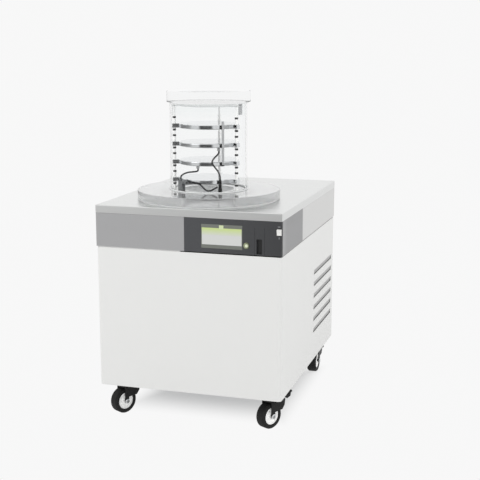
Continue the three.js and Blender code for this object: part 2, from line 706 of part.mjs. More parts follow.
function lid() {
  const { radius, z0, height, bevel } = LID;
  return turned(
    [
      [0, z0], [radius - bevel, z0], [radius, z0 + bevel], [radius, z0 + height - bevel],
      [radius - bevel, z0 + height], [0, z0 + height],
    ],
    ROUND,
  );
}

// One turned rod: a foot on the disc, and at each shelf a clamping sleeve that runs through its lug.
function rackRod(angle) {
  const { circle, radius, sleeve, sleeveUp, sleeveDown, foot, top } = ROD;
  const points = [[0, DISC_TOP], [foot, DISC_TOP], [foot, DISC_TOP + 5], [radius, DISC_TOP + 5]];
  for (const level of SHELF.levels) {
    const [low, high] = [TOP_Z + level - sleeveDown, TOP_Z + level + sleeveUp];
    points.push([radius, low], [sleeve, low], [sleeve, high], [radius, high]);
  }
  points.push([radius, TOP_PLATE.z - 8], [sleeve, TOP_PLATE.z - 8], [sleeve, top], [0, top]);
  return turned(points, 6, ...polar(circle, angle));
}

// Adds a lug with a hole for each rod to a round plate.
function withLugs(plate, z0, z1) {
  const lugs = [];
  const holes = [];
  for (const angle of Object.values(ROD_ANGLES)) {
    const lug = block(80, LUG.reach, -LUG.width / 2, LUG.width / 2, z0, z1);
    lugs.push(lug.rotateZ(radians(angle)));
    holes.push(post(...polar(ROD.circle, angle), z0 - 1, z1 + 1, LUG.hole, 8));
  }
  return cut(join(plate, ...lugs), ...holes);
}

// A flat heating plate with a bevelled rim; two of them have a socket on the underside for a lead.
const SOCKETS = { shelf_2: [-16, -62], shelf_3: [52, -58] };
const SOCKET = { radius: 5.5, height: 11 };

function shelf(name, level) {
  const { radius, sheet } = SHELF;
  const z0 = TOP_Z + level - sheet / 2;
  const z1 = z0 + sheet;
  const plate = turned(
    [[0, z0], [radius - 1.5, z0], [radius, z0 + 1.5], [radius, z1 - 1.5], [radius - 1.5, z1], [0, z1]],
    24,
  );
  const whole = withLugs(plate, z0, z1);
  const place = SOCKETS[name];
  return place ? join(whole, post(...place, z0 - SOCKET.height, z0 + 1, SOCKET.radius, 10)) : whole;
}

function topPlate() {
  const { radius, z, sheet } = TOP_PLATE;
  return withLugs(post(0, 0, z, z + sheet, radius, 24), z, z + sheet);
}

function heaterPlug() {
  const { x, y, radius, height } = PLUG;
  const top = DISC_TOP + height;
  return turned(
    [
      [0, DISC_TOP], [radius, DISC_TOP], [radius, DISC_TOP + 12], [radius - 1, DISC_TOP + 13],
      [radius - 1, top - 8], [3.2, top], [0, top],
    ],
    12, x, y,
  );
}

function terminalBlock() {
  const { circle, angle, width, depth, height } = BLOCK;
  const body = block(-width / 2, width / 2, -depth / 2, depth / 2, DISC_TOP, DISC_TOP + height);
  const side = width / 2;
  const gland = barX(side - 1, side + GLAND.length, 0, DISC_TOP + GLAND.height, GLAND.radius, 12);
  const neck = post(-5, 0, DISC_TOP + height - 1, DISC_TOP + height + 4, 3.6, 8);
  return join(body, gland, neck).rotateZ(radians(angle - 270)).translate(...polar(circle, angle), 0);
}

// Flexible leads, from the block and the plug to the shelves' sockets, in the chamber's own frame.
const LEAD_ROUTES = {
  lead_left: [
    [-68.1, -78.8, 771.5], [-68.1, -78.8, 775], [-66.5, -79, 782], [-59, -78, 788.5], [-46, -73, 793.5],
    [-33, -66, 795], [-23, -62.3, 796], [-17, -62, 798.5], [-16, -62, 801.5], [-16, -62, 805.5],
  ],
  lead_loop: [
    [-41, -100, 764], [-36, -102.7, 764], [-26, -104.3, 764], [-14, -103.6, 763.6], [-3, -102.2, 762.4],
    [6, -101.2, 758.5], [13, -100.4, 751.5], [20, -99.2, 744.5], [29, -96.9, 740.6], [38, -93.6, 742],
    [46, -90.3, 746.5], [52, -87.8, 750], [57.4, -85.6, 751.5],
  ],
  lead_right: [
    [64, -83, 777.4], [64, -83, 783], [62, -84.5, 793], [57, -87, 804], [50, -90.2, 814], [43.5, -92.8, 824],
    [41.5, -92.8, 832.5], [44.5, -87, 841], [48.5, -77, 848], [51.2, -66, 853], [52, -60, 856.5],
    [52, -58, 860], [52, -58, 863.1],
  ],
};

function chamber() {
  const levels = SHELF.levels.map((level, i) => {
    const name = `shelf_${i + 1}`;
    return piece(name, shelf(name, level), FINISH.steel);
  });
  const rods = Object.entries(ROD_ANGLES).map(([side, angle]) =>
    piece(`rack_rod_${side}`, rackRod(angle), FINISH.steel));
  const leads = Object.entries(LEAD_ROUTES).map(([name, route]) =>
    piece(name, swept(route, LEAD_R, 8, 12), FINISH.rubber));
  const holder = group(
    piece('vessel_gasket', vesselGasket(), FINISH.rubber),
    piece('chamber_disc', chamberDisc(), FINISH.acrylic),
    piece('drum_gasket', ring(...DRUM.seal, DISC_TOP, DRUM.z0, ROUND), FINISH.rubber),
    piece('drum', ring(DRUM.inner, DRUM.outer, DRUM.z0, DRUM.z1, ROUND), FINISH.acrylic),
    piece('lid_gasket', ring(...DRUM.seal, DRUM.z1, LID.z0, ROUND), FINISH.rubber),
    piece('lid', lid(), FINISH.acrylic),
    piece('rack_top_plate', topPlate(), FINISH.steel),
    piece('heater_plug', heaterPlug(), FINISH.blackPlastic),
    piece('terminal_block', terminalBlock(), FINISH.greyPlastic),
    ...levels,
    ...rods,
    ...leads,
  );
  holder.position.set(CHAMBER_X, CHAMBER_Y, 0);
  return holder;
}

// ---- Castors (local frame on the floor under the stem) ------------------------------------------

// Turned about Z, then laid so that its axis is the local Y axis and a flat of the tread is down.
const WHEEL_SIDES = 16;

function onAxle(profile) {
  const flat = Math.PI / WHEEL_SIDES;
  const stretched = profile.map(([radius, z]) => [radius / Math.cos(flat), z]);
  const wheel = turned(stretched, WHEEL_SIDES).rotateZ(flat).rotateX(Math.PI / 2);
  return wheel.translate(-CASTOR.trail, 0, CASTOR.wheelR);
}

function tyre() {
  const { wheelR, wheelW, hubR } = CASTOR;
  const half = wheelW / 2;
  const inner = hubR + GAP;
  return onAxle([
    [inner, -half + 2], [wheelR - 4, -half], [wheelR, -half + 5], [wheelR, half - 5], [wheelR - 4, half],
    [inner, half - 2], [inner, -half + 2],
  ]);
}

function hub() {
  const { hubR, hubW } = CASTOR;
  const half = hubW / 2;
  const bore = FORK.axleR + GAP;
  return onAxle([
    [bore, -half], [11, -half], [22, -6], [24, -half + 1], [hubR, -half + 1],
    [hubR, half - 1], [24, half - 1], [22, 6], [11, half], [bore, half], [bore, -half],
  ]);
}

// One side cheek of the fork in local X and Z: upright over the axle, swept back under the head.
function cheekShape() {
  const axle = -CASTOR.trail;
  const shape = new THREE.Shape();
  const eye = 8;
  shape.moveTo(axle - eye, FORK.headZ + 2);
  shape.lineTo(axle - eye, CASTOR.wheelR);
  shape.absarc(axle, CASTOR.wheelR, eye, Math.PI, 2 * Math.PI);
  shape.lineTo(axle + eye, 55);
  shape.lineTo(20, 57);
  shape.lineTo(30, 70);
  shape.lineTo(33, FORK.headZ + 2);
  return shape;
}

function fork(hasPedal) {
  const { headR, headZ, sheet, inside, axleR } = FORK;
  const top = CASTOR_HEIGHT - PLATE.sheet - 8;
  const head = turned([[0, headZ], [headR, headZ], [headR, top - 5], [headR - 6, top], [0, top]], 12);
  const cheeks = [inside, -inside - sheet].map((y) => raisedY(cheekShape(), y, y + sheet, 3));
  const axle = barY(-CASTOR.trail, -inside - sheet - 3, inside + sheet + 3, CASTOR.wheelR, axleR, 12);
  const pieces = [head, ...cheeks, axle];
  if (hasPedal) {
    const half = PEDAL.width / 2 + 0.5;
    for (const y of [-half - 3, half]) {
      pieces.push(block(20, PEDAL.pivotX + 5, y, y + 3, PEDAL.pivotZ - 5, PEDAL.pivotZ + 6));
    }
    pieces.push(barY(PEDAL.pivotX, -half - 1, half + 1, PEDAL.pivotZ, PEDAL.pin, 10));
  }
  return join(...pieces);
}

// A barrel on the pivot pin with a broad tread that slopes down and outwards.
function brakePedal() {
  const { pivotX, pivotZ, width, flare, reach, sheet, barrel, pin } = PEDAL;
  const half = width / 2;
  const side = new THREE.Shape();
  side.moveTo(0, -barrel);
  side.lineTo(0, barrel);
  side.lineTo(reach - 3, barrel + 9);
  side.lineTo(reach, barrel + 6);
  side.lineTo(reach - 4, -8);
  side.lineTo(8, -13);
  const wide = new THREE.Shape();
  wide.moveTo(9, barrel - 2);
  wide.lineTo(9, barrel + 3.5);
  wide.lineTo(reach - 3, barrel + 9);
  wide.lineTo(reach, barrel + 6);
  wide.lineTo(reach - 1, barrel + 6 - sheet);
  const tread = join(raisedY(side, -half, half), raisedY(wide, -flare / 2, flare / 2));
  tread.translate(pivotX, 0, pivotZ);
  return cut(
    join(barY(pivotX, -half, half, pivotZ, barrel, 12), tread),
    barY(pivotX, -half - 1, half + 1, pivotZ, pin + GAP, 12),
  );
}

// Mounting plate with its upper raceway and four bolt heads.
function castorPlate() {
  const { length, width, sheet } = PLATE;
  const top = CASTOR_HEIGHT;
  const shape = roundedRectangle(length / 2, width / 2, 8);
  const corners = [[-38, -30], [38, -30], [38, 30], [-38, 30]];
  const bolts = corners.map(([x, y]) => post(x, y, top - sheet - 5, top - sheet + 1, 6.5, 6));
  const race = post(0, 0, top - sheet - 8 + GAP, top - sheet + 1, 26, 10);
  return join(raised(shape, top - sheet, top, 2), race, ...bolts);
}

function castor(place, x, y, swivel, hasPedal) {
  const turning = group(
    piece(`castor_fork_${place}`, fork(hasPedal), FINISH.blackPlastic),
    piece(`castor_hub_${place}`, hub(), FINISH.hub),
    piece(`castor_tyre_${place}`, tyre(), FINISH.rubber),
  );
  if (hasPedal) turning.add(piece(`brake_pedal_${place}`, brakePedal(), FINISH.blackPlastic));
  turning.rotation.z = radians(swivel);
  const whole = group(piece(`castor_plate_${place}`, castorPlate(), FINISH.blackPlastic), turning);
  whole.position.set(x, y, 0);
  return whole;
}

function castors() {
  const { x, frontY, rearY } = CASTOR;
  return group(
    castor('front_left', -x, frontY, FRONT_SWIVEL, true),
    castor('front_right', x, frontY, FRONT_SWIVEL, true),
    castor('rear_left', -x, rearY, REAR_SWIVEL, false),
    castor('rear_right', x, rearY, REAR_SWIVEL, false),
  );
}

// ---- The whole machine --------------------------------------------------------------------------

const freezeDryer = group(cabinet(), controls(), machinery(), chamber(), castors());
freezeDryer.position.y = (FRONT_REACH - REAR_REACH) / 2;

export default freezeDryer;
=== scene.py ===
"""Dresses the freeze dryer: finishes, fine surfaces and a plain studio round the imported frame.

Lengths are in metres. +Z is up, the front faces -Y, and every piece is built where it stands, so an object
sits at the origin. The frame gives the places; the dataclass fields hold the sizes finer than its solids.
"""

from __future__ import annotations

import json
import logging
import math
from dataclasses import dataclass, field, replace
from enum import Enum
from functools import cache
from typing import Sequence

import bmesh
import bpy
import numpy as np
import numpy.typing as npt
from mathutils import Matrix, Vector


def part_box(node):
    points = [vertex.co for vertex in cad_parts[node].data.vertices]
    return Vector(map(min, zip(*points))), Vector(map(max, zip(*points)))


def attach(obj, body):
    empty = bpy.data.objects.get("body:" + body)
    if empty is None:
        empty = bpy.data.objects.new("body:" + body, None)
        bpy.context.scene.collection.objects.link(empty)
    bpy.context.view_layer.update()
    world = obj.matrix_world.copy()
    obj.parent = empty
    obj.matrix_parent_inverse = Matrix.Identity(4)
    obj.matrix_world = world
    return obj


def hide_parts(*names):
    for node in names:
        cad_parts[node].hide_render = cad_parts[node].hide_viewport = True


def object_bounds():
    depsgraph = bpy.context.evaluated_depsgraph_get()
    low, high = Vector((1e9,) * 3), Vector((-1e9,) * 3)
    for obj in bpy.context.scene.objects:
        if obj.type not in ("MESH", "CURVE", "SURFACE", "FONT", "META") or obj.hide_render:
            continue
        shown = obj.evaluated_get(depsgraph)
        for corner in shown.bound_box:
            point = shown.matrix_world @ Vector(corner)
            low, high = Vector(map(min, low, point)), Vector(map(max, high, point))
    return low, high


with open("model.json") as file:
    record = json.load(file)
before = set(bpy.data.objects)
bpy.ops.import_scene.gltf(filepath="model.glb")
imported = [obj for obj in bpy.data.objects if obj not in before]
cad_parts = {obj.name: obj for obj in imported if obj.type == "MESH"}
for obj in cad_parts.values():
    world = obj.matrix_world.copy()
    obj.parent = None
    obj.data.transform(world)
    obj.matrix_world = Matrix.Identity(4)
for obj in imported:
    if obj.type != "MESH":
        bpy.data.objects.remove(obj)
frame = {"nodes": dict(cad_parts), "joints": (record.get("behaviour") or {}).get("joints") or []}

CAD_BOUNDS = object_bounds()
LOG = logging.getLogger("freeze_dryer")
MM = 0.001
WHITE = (1.0, 1.0, 1.0, 1.0)
JOINTS = {joint["name"]: joint for joint in frame["joints"]}
CORNERS = ("front_left", "front_right", "rear_left", "rear_right")

Array = npt.NDArray[np.float64]
Color = tuple[float, float, float]
Points = Sequence[Sequence[float]]
Socket = bpy.types.NodeSocket
Tree = bpy.types.NodeTree


def box(node: str) -> tuple[Array, Array]:
    """Returns the lowest and the highest corner of a node's box."""
    low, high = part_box(node)
    return np.array(low), np.array(high)


def middle(node: str) -> Array:
    """Returns the middle of a node's box."""
    low, high = box(node)
    return (low + high) / 2


def stand(node: str) -> Array:
    """Returns the point on the floor under the middle of a node's box."""
    return middle(node) * np.array([1.0, 1.0, 0.0])


def span(node: str) -> tuple[float, float, float]:
    """Returns the radius, lowest and highest point of a round node."""
    low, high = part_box(node)
    return (high[0] - low[0]) / 2, low[2], high[2]


# ---- Shader groups and finishes ----------------------------------------------------------------


MOTTLE_SPAN = (0.3, 0.7)  # where most values of the broad noise lie
GLOSS_SPREAD = 4.0  # how much further roughness strays from its middle than colour does
RELIEF_HEIGHT = 0.1 * MM
RUBBED_WIDTH = 5 * MM  # how far from an edge a face can be rubbed
RUBBED_ROUGHER = 0.2  # how much rougher a rubbed edge is
DUST_REACH = 120 * MM  # how high over the floor dust lies
DUST_COLOR = (0.35, 0.34, 0.32)
LIGHT_THROUGH = 0.93  # the share of light that passes a clear piece to what stands behind it


class Grain(Enum):
    """How a surface was made, which sets the pattern of its fine relief and of its shade."""

    POWDER_COAT = "powder coat"
    BRUSHED = "brushed"
    TURNED = "turned about an upright axis"
    MOULDED = "moulded"
    CLEAR = "clear"


class Nodes:
    """Adds nodes to a tree and joins them."""

    def __init__(self, tree: Tree) -> None:
        """Keeps the tree that the nodes go into."""
        self.tree = tree

    def add(self, kind: str, settings: dict[str, object] | None = None, **inputs: object) -> bpy.types.Node:
        """Adds one node.

        Args:
            kind: the node's type name.
            settings: attributes of the node itself.
            inputs: a value or an output socket for each input, with _ for a space in the name.

        Returns:
            The new node.
        """
        node = self.tree.nodes.new(kind)
        for key, value in (settings or {}).items():
            setattr(node, key, value)
        for key, value in inputs.items():
            self.feed(node, key.replace("_", " "), value)
        return node

    def feed(self, node: bpy.types.Node, name: str | int, value: object) -> None:
        """Sets an input to a value, or joins it to an output socket.

        Args:
            node: the node.
            name: the input's name or place.
            value: the value or the output socket.
        """
        if isinstance(value, Socket):
            self.tree.links.new(value, node.inputs[name])
        else:
            node.inputs[name].default_value = value

    def math(self, operation: str, first: object, second: object = 0.0) -> Socket:
        """Adds a Math node.

        Args:
            operation: what it works out.
            first: a value or an output socket.
            second: another.

        Returns:
            Its output.
        """
        node = self.add("ShaderNodeMath", {"operation": operation})
        self.feed(node, 0, first)
        self.feed(node, 1, second)
        return node.outputs[0]

    def parts(self, vector: Socket) -> Sequence[Socket]:
        """Returns the X, Y and Z of a vector."""
        return self.add("ShaderNodeSeparateXYZ", Vector=vector).outputs

    def noise(self, vector: Socket, scale: object, detail: float) -> Socket:
        """Returns the value of a Noise Texture."""
        return self.add("ShaderNodeTexNoise", Vector=vector, Scale=scale, Detail=detail).outputs[0]

    def ramp(self, value: Socket, start: float, end: float, low: float = 0.0, high: float = 1.0) -> Socket:
        """Returns a straight ramp: low up to the start, high from the end on."""
        ends = {"From_Min": start, "From_Max": end, "To_Min": low, "To_Max": high}
        return self.add("ShaderNodeMapRange", Value=value, **ends).outputs[0]

    def step(self, value: Socket, start: float, end: float) -> Socket:
        """Returns a smooth step from 0 at the start to 1 at the end."""
        kind = {"interpolation_type": "SMOOTHSTEP"}
        return self.add("ShaderNodeMapRange", kind, Value=value, From_Min=start, From_Max=end).outputs[0]

    def colors(self, share: Socket, under: Socket | Color, over: Socket | Color) -> Socket:
        """Lays one colour over another.

        Args:
            share: how much of the colour on top is seen.
            under: the colour underneath.
            over: the colour on top.

        Returns:
            The mixed colour.
        """
        mix = self.add("ShaderNodeMix", {"data_type": "RGBA"})
        self.feed(mix, 0, share)
        for index, color in ((6, under), (7, over)):
            self.feed(mix, index, color if isinstance(color, Socket) else (*color, 1.0))
        return mix.outputs[2]

    def shaders(self, share: Socket, under: bpy.types.Node, over: bpy.types.Node) -> bpy.types.Node:
        """Mixes two shaders.

        Args:
            share: how much of the second one is seen.
            under: the first shader.
            over: the second shader.

        Returns:
            The mixed shader.
        """
        mix = self.add("ShaderNodeMixShader", Fac=share)
        self.feed(mix, 1, under.outputs[0])
        self.feed(mix, 2, over.outputs[0])
        return mix

    def rays(self, *kinds: str) -> Socket:
        """Tells rays of some kinds from the others.

        Args:
            kinds: outputs of a Light Path node.

        Returns:
            1 for rays of those kinds and 0 for the others.
        """
        path = self.add("ShaderNodeLightPath").outputs
        first, *others = (path[kind] for kind in kinds)
        for other in others:
            first = self.math("MAXIMUM", first, other)
        return first


class Group(Nodes):
    """A shader group that puts out plain values."""

    def __init__(self, name: str, **inputs: float | None) -> None:
        """Starts the group.

        Args:
            name: the group's name.
            inputs: the default of each value that goes in, or None for a vector.
        """
        super().__init__(bpy.data.node_groups.new(name, "ShaderNodeTree"))
        for label, value in inputs.items():
            kind = "NodeSocketVector" if value is None else "NodeSocketFloat"
            socket = self.tree.interface.new_socket(name=label, in_out="INPUT", socket_type=kind)
            if value is not None:
                socket.default_value = value
        source = self.add("NodeGroupInput").outputs
        self.given = [source[label] for label in inputs]

    def close(self, **outputs: Socket) -> Tree:
        """Gives the group its outputs.

        Args:
            outputs: what each output gives.

        Returns:
            The finished group.
        """
        for label in outputs:
            self.tree.interface.new_socket(name=label, in_out="OUTPUT", socket_type="NodeSocketFloat")
        self.add("NodeGroupOutput", **outputs)
        return self.tree


@cache
def grain_group(is_turned: bool) -> Tree:
    """Builds the group "grain" or "turned": fine noise for the relief, and with broad noise for the shade.

    In "turned" the fine noise follows the distance from the axis, as the marks of a lathe tool do.

    Args:
        is_turned: builds "turned".

    Returns:
        The group, with inputs Vector and Fineness and outputs Height and Mottle.
    """
    group = Group("turned" if is_turned else "grain", Vector=None, Fineness=800.0)
    vector, fineness = group.given
    if is_turned:
        x, y, z = group.parts(vector)
        square = group.math("ADD", group.math("MULTIPLY", x, x), group.math("MULTIPLY", y, y))
        along = group.add("ShaderNodeCombineXYZ", X=group.math("SQRT", square), Y=0.0, Z=z).outputs[0]
        fine, broad, share = group.noise(along, fineness, 2.0), group.noise(vector, 9.0, 3.0), 0.5
    else:
        broad = group.noise(vector, group.math("MULTIPLY", fineness, 0.02), 4.0)
        fine, share = group.noise(vector, fineness, 3.0), 0.4
    blend = group.math("ADD", group.math("MULTIPLY", fine, share), group.math("MULTIPLY", broad, 1 - share))
    return group.close(Height=fine, Mottle=blend)


@cache
def dust_group() -> Tree:
    """Builds the group "dust": a mask that is stronger near the floor and broken up by noise.

    Returns:
        The group, with inputs Vector, Reach and Amount and the output Mask.
    """
    group = Group("dust", Vector=None, Reach=0.1, Amount=0.2)
    vector, reach, amount = group.given
    near = group.math("SUBTRACT", 1.0, group.math("DIVIDE", group.parts(vector)[2], reach))
    specks = group.math("MULTIPLY", group.noise(vector, 60.0, 5.0), amount)
    mask = group.math("MULTIPLY", group.math("MAXIMUM", near, 0.0), specks)
    return group.close(Mask=group.math("MINIMUM", mask, 1.0))


@cache
def edge_group() -> Tree:
    """Builds the group "edge wear": a broken-up mask along the edges of a box.

    Each depth under a face, Half - |p - Middle|, is turned into a share that grows from 0 at Width inside
    the face to 1 on it. A face alone gives a sum of 1, so what is over 1 lies along an edge.

    Returns:
        The group, with inputs Vector, Middle, Half, Width and Amount and the output Mask.
    """
    group = Group("edge wear", Vector=None, Middle=None, Half=None, Width=0.004, Amount=0.3)
    vector, centre, half, width, amount = group.given
    away = group.add("ShaderNodeVectorMath", {"operation": "SUBTRACT"})
    group.feed(away, 0, vector)
    group.feed(away, 1, centre)
    total: object = -1.0
    for side, reach in zip(group.parts(away.outputs[0]), group.parts(half)):
        depth = group.math("SUBTRACT", reach, group.math("ABSOLUTE", side))
        share = group.math("SUBTRACT", 1.0, group.math("DIVIDE", group.math("MAXIMUM", depth, 0.0), width))
        total = group.math("ADD", total, group.math("MAXIMUM", share, 0.0))
    specks = group.math("SUBTRACT", group.math("MULTIPLY", group.noise(vector, 140.0, 5.0), 3.0), 1.2)
    broken = group.math("MULTIPLY", group.math("MAXIMUM", specks, 0.0), amount)
    mask = group.math("MULTIPLY", group.math("MAXIMUM", total, 0.0), broken)
    return group.close(Mask=group.math("MINIMUM", mask, 1.0))


@dataclass(frozen=True)
class Finish:
    """One finish: colour, gloss and the fine pattern that its making leaves.

    Attributes:
        name: the material's name.
        slot: the record's material slot that it stands for; not used.
        color: linear base colour.
        roughness: the middle of its roughness.
        metallic: 1 for bare metal.
        grain: how the surface was made.
        fineness: features of the pattern per metre.
        relief: strength of the bump.
        mottle: how far colour and roughness stray from their middle, as a share.
        stretch: scale of the pattern along X, Y and Z.
        centre: the point that a turned pattern goes round.
        transmission: 1 for clear plastic.
        ior: index of refraction.
        coat: weight of a clear coat.
        coat_roughness: roughness of that coat.
        glow: strength of its own light, for a lit display, and painted light on the pale hubs, rod sleeves
            and drum seal.
        dust: how much dust lies on it near the floor.
        wear: how far its outer edges are rubbed.
        worn: linear colour of a rubbed edge.
        edges: the nodes whose common box has those edges.
        fade: the axis of a fade, where it starts and ends, and the colour at its end; the display header's
            fade is its own colour, the others are painted shade.
    """

    name: str
    slot: str
    color: Color
    roughness: float
    metallic: float = 0.0
    grain: Grain = Grain.MOULDED
    fineness: float = 900.0
    relief: float = 0.15
    mottle: float = 0.04
    stretch: tuple[float, float, float] = (1.0, 1.0, 1.0)
    centre: tuple[float, float, float] = (0.0, 0.0, 0.0)
    transmission: float = 0.0
    ior: float = 1.5
    coat: float = 0.0
    coat_roughness: float = 0.08
    glow: float = 0.0
    dust: float = 0.0
    wear: float = 0.0
    worn: Color = (0.5, 0.5, 0.5)
    edges: tuple[str, ...] = ()
    fade: tuple[int, float, float, Color] | None = None

    def material(self) -> bpy.types.Material:
        """Returns the finish as a material, which is built the first time."""
        if self.name in bpy.data.materials:
            return bpy.data.materials[self.name]
        material = bpy.data.materials.new(self.name)
        material.use_nodes = True
        nodes = Nodes(material.node_tree)
        shader = nodes.tree.nodes["Principled BSDF"]
        plain = {
            "Metallic": self.metallic, "IOR": self.ior, "Transmission Weight": self.transmission,
            "Coat Weight": self.coat, "Coat Roughness": self.coat_roughness,
            "Emission Color": (*self.color, 1.0), "Emission Strength": self.glow,
        }
        for socket, value in plain.items():
            nodes.feed(shader, socket, value)
        place = nodes.add("ShaderNodeTexCoord").outputs["Object"]
        shift = tuple(-c * s for c, s in zip(self.centre, self.stretch))
        mapping = nodes.add("ShaderNodeMapping", Vector=place, Location=shift, Scale=self.stretch).outputs[0]
        layer = {"node_tree": grain_group(self.grain is Grain.TURNED)}
        pattern = nodes.add("ShaderNodeGroup", layer, Vector=mapping, Fineness=self.fineness).outputs
        wear = self.wear_mask(nodes, place) if self.wear else None
        nodes.feed(shader, "Base Color", self.tinted(nodes, place, pattern["Mottle"], wear))
        spread = self.roughness * GLOSS_SPREAD * self.mottle
        least, most = max(self.roughness - spread, 0.0), min(self.roughness + spread, 1.0)
        rough = nodes.ramp(pattern["Mottle"], *MOTTLE_SPAN, least, most)
        if wear:
            rough = nodes.math("ADD", rough, nodes.math("MULTIPLY", wear, RUBBED_ROUGHER))
        nodes.feed(shader, "Roughness", rough)
        relief = {"Height": pattern["Height"], "Strength": self.relief, "Distance": RELIEF_HEIGHT}
        nodes.feed(shader, "Normal", nodes.add("ShaderNodeBump", **relief).outputs[0])
        if self.grain is Grain.CLEAR:
            light = nodes.rays("Is Shadow Ray", "Is Diffuse Ray")
            passed = nodes.math("MULTIPLY", light, LIGHT_THROUGH)
            nodes.feed(shader, "Alpha", nodes.math("SUBTRACT", 1.0, passed))
        return material

    def wear_mask(self, nodes: Nodes, place: Socket) -> Socket:
        """Finds the rubbed edges of the box round the finish's nodes.

        Args:
            nodes: the material's node helper.
            place: Object coordinates.

        Returns:
            The mask socket.
        """
        corners = np.array([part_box(node) for node in self.edges], dtype=float)
        low, high = corners[:, 0].min(axis=0), corners[:, 1].max(axis=0)
        sizes = {"Middle": tuple((low + high) / 2), "Half": tuple((high - low) / 2), "Width": RUBBED_WIDTH}
        layer = {"node_tree": edge_group()}
        return nodes.add("ShaderNodeGroup", layer, Vector=place, Amount=self.wear, **sizes).outputs["Mask"]

    def tinted(self, nodes: Nodes, place: Socket, mottle: Socket, wear: Socket | None) -> Socket:
        """Mixes the shades of the colour, and lays its fade (painted shade, except on the display header),
        the rubbed edges and the dust over them.

        Args:
            nodes: the material's node helper.
            place: Object coordinates.
            mottle: the pattern that picks between the shades.
            wear: the mask of the rubbed edges, if it has them.

        Returns:
            The colour socket.
        """
        shades = [tuple(min(c * (1 + sign * self.mottle), 1.0) for c in self.color) for sign in (-1, 1)]
        color = nodes.colors(mottle, *shades)
        if self.fade:
            axis, start, end, last = self.fade
            color = nodes.colors(nodes.ramp(nodes.parts(place)[axis], start, end), color, last)
        if wear:
            color = nodes.colors(wear, color, self.worn)
        if self.dust:
            layer = {"node_tree": dust_group()}
            mask = nodes.add("ShaderNodeGroup", layer, Vector=place, Reach=DUST_REACH, Amount=self.dust)
            color = nodes.colors(mask.outputs["Mask"], color, DUST_COLOR)
        return color


AXIS = stand("drum")
ON_AXIS = tuple(AXIS.tolist())
SKIN_X = float(box("right_side_panel")[1][0])
FRONT_Y = float(CAD_BOUNDS[0][1])
DISPLAY_TOP = float(box("display")[1][2])
BUTTON_X = float(middle("push_button")[0])
BODY = ("front_panel", "rear_panel", "left_side_panel", "right_side_panel")
HEAD = ("front_fascia", "rear_band")

WHITE_PAINT = Finish(
    "white powder coat", "white_paint", (0.765, 0.767, 0.755), 0.42, grain=Grain.POWDER_COAT,
    fineness=700.0, relief=0.12, mottle=0.012, wear=0.10, worn=(0.55, 0.55, 0.54), edges=BODY,
)
# Painted shade: the louvres darken with depth behind the skin, from 0.15 mm to 0.9 mm in, standing in for
# the shade inside them.
LOUVRE_PAINTED_SHADE = replace(
    WHITE_PAINT, name="white powder coat with painted shade in the louvres",
    fade=(0, SKIN_X - 0.15 * MM, SKIN_X - 0.9 * MM, (0.41, 0.41, 0.405)),
)
# Painted shade: the fascia darkens from 14 mm to 60 mm behind the front, so its side returns look shaded.
DARK_FASCIA = Finish(
    "grey fascia lacquer with painted shade on its returns", "dark_fascia", (0.40, 0.40, 0.405), 0.42, metallic=0.25, grain=Grain.BRUSHED,
    stretch=(0.02, 0.02, 1.0), relief=0.08, mottle=0.03, ior=1.25, wear=0.12, worn=(0.60, 0.60, 0.60),
    edges=HEAD, fade=(1, FRONT_Y + 14 * MM, FRONT_Y + 60 * MM, (0.31, 0.31, 0.315)),
)
LIGHT_FASCIA = Finish(
    "light grey lacquer", "light_fascia", (0.62, 0.62, 0.612), 0.34, metallic=0.2, grain=Grain.BRUSHED,
    stretch=(0.02, 0.02, 1.0), relief=0.08, mottle=0.02, wear=0.12, worn=(0.80, 0.80, 0.80), edges=HEAD,
)
WORKTOP_STEEL = Finish(
    "brushed worktop steel", "brushed_steel", (0.76, 0.767, 0.76), 0.3, metallic=1.0, grain=Grain.BRUSHED,
    fineness=1100.0, stretch=(0.012, 1.0, 1.0), relief=0.06, mottle=0.03, wear=0.12,
    worn=(0.90, 0.90, 0.90), edges=("worktop",),
)
SHELF_STEEL = Finish(
    "turned shelf steel", "polished_steel", (0.72, 0.73, 0.74), 0.11, metallic=1.0, grain=Grain.TURNED,
    fineness=1500.0, relief=0.08, centre=ON_AXIS,
)
ROD_STEEL = Finish(
    "bright rod steel", "polished_steel", (0.75, 0.76, 0.77), 0.18, metallic=1.0, fineness=1500.0,
    relief=0.05,
)
# Painted light: the glow brightens the rod sleeves, which give no light of their own.
SLEEVE_WHITE = Finish(
    "white nylon sleeve with painted light", "white_plastic", (0.93, 0.93, 0.92), 0.4, fineness=1500.0, relief=0.1, mottle=0.02,
    ior=1.3, glow=0.08,
)
PLATE_STEEL = Finish(
    "blasted plate steel", "polished_steel", (0.72, 0.73, 0.73), 0.45, metallic=0.8, fineness=1500.0,
    relief=0.1,
)
VESSEL_STEEL = Finish(
    "polished vessel steel", "polished_steel", (0.74, 0.75, 0.76), 0.14, metallic=1.0, grain=Grain.TURNED,
    fineness=500.0, relief=0.05, centre=ON_AXIS,
)
# Painted shade: the panel film grows darker from 40 mm to 290 mm along X, towards the panel's right.
ANTHRACITE = Finish(
    "anthracite panel film with painted shade", "anthracite", (0.060, 0.062, 0.067), 0.42, fineness=1800.0, relief=0.2,
    mottle=0.05, wear=0.12, worn=(0.16, 0.16, 0.17), edges=("control_panel",),
    fade=(0, 40 * MM, 290 * MM, (0.038, 0.039, 0.042)),
)
SLOT_BLACK = Finish("black recess", "black_plastic", (0.012, 0.012, 0.013), 0.55, fineness=1500.0)
SCREEN_FRAME = Finish(
    "grey screen frame", "display_glass", (0.165, 0.175, 0.155), 0.22, mottle=0.02, coat=0.2,
)
SCREEN_TAB = replace(SCREEN_FRAME, name="pale screen tab", color=(0.56, 0.63, 0.38), glow=0.08)
SCREEN_FIELD = Finish(
    "lit screen field", "display_glass", (0.57, 0.58, 0.565), 0.14, mottle=0.02, coat=0.3, glow=0.10,
)
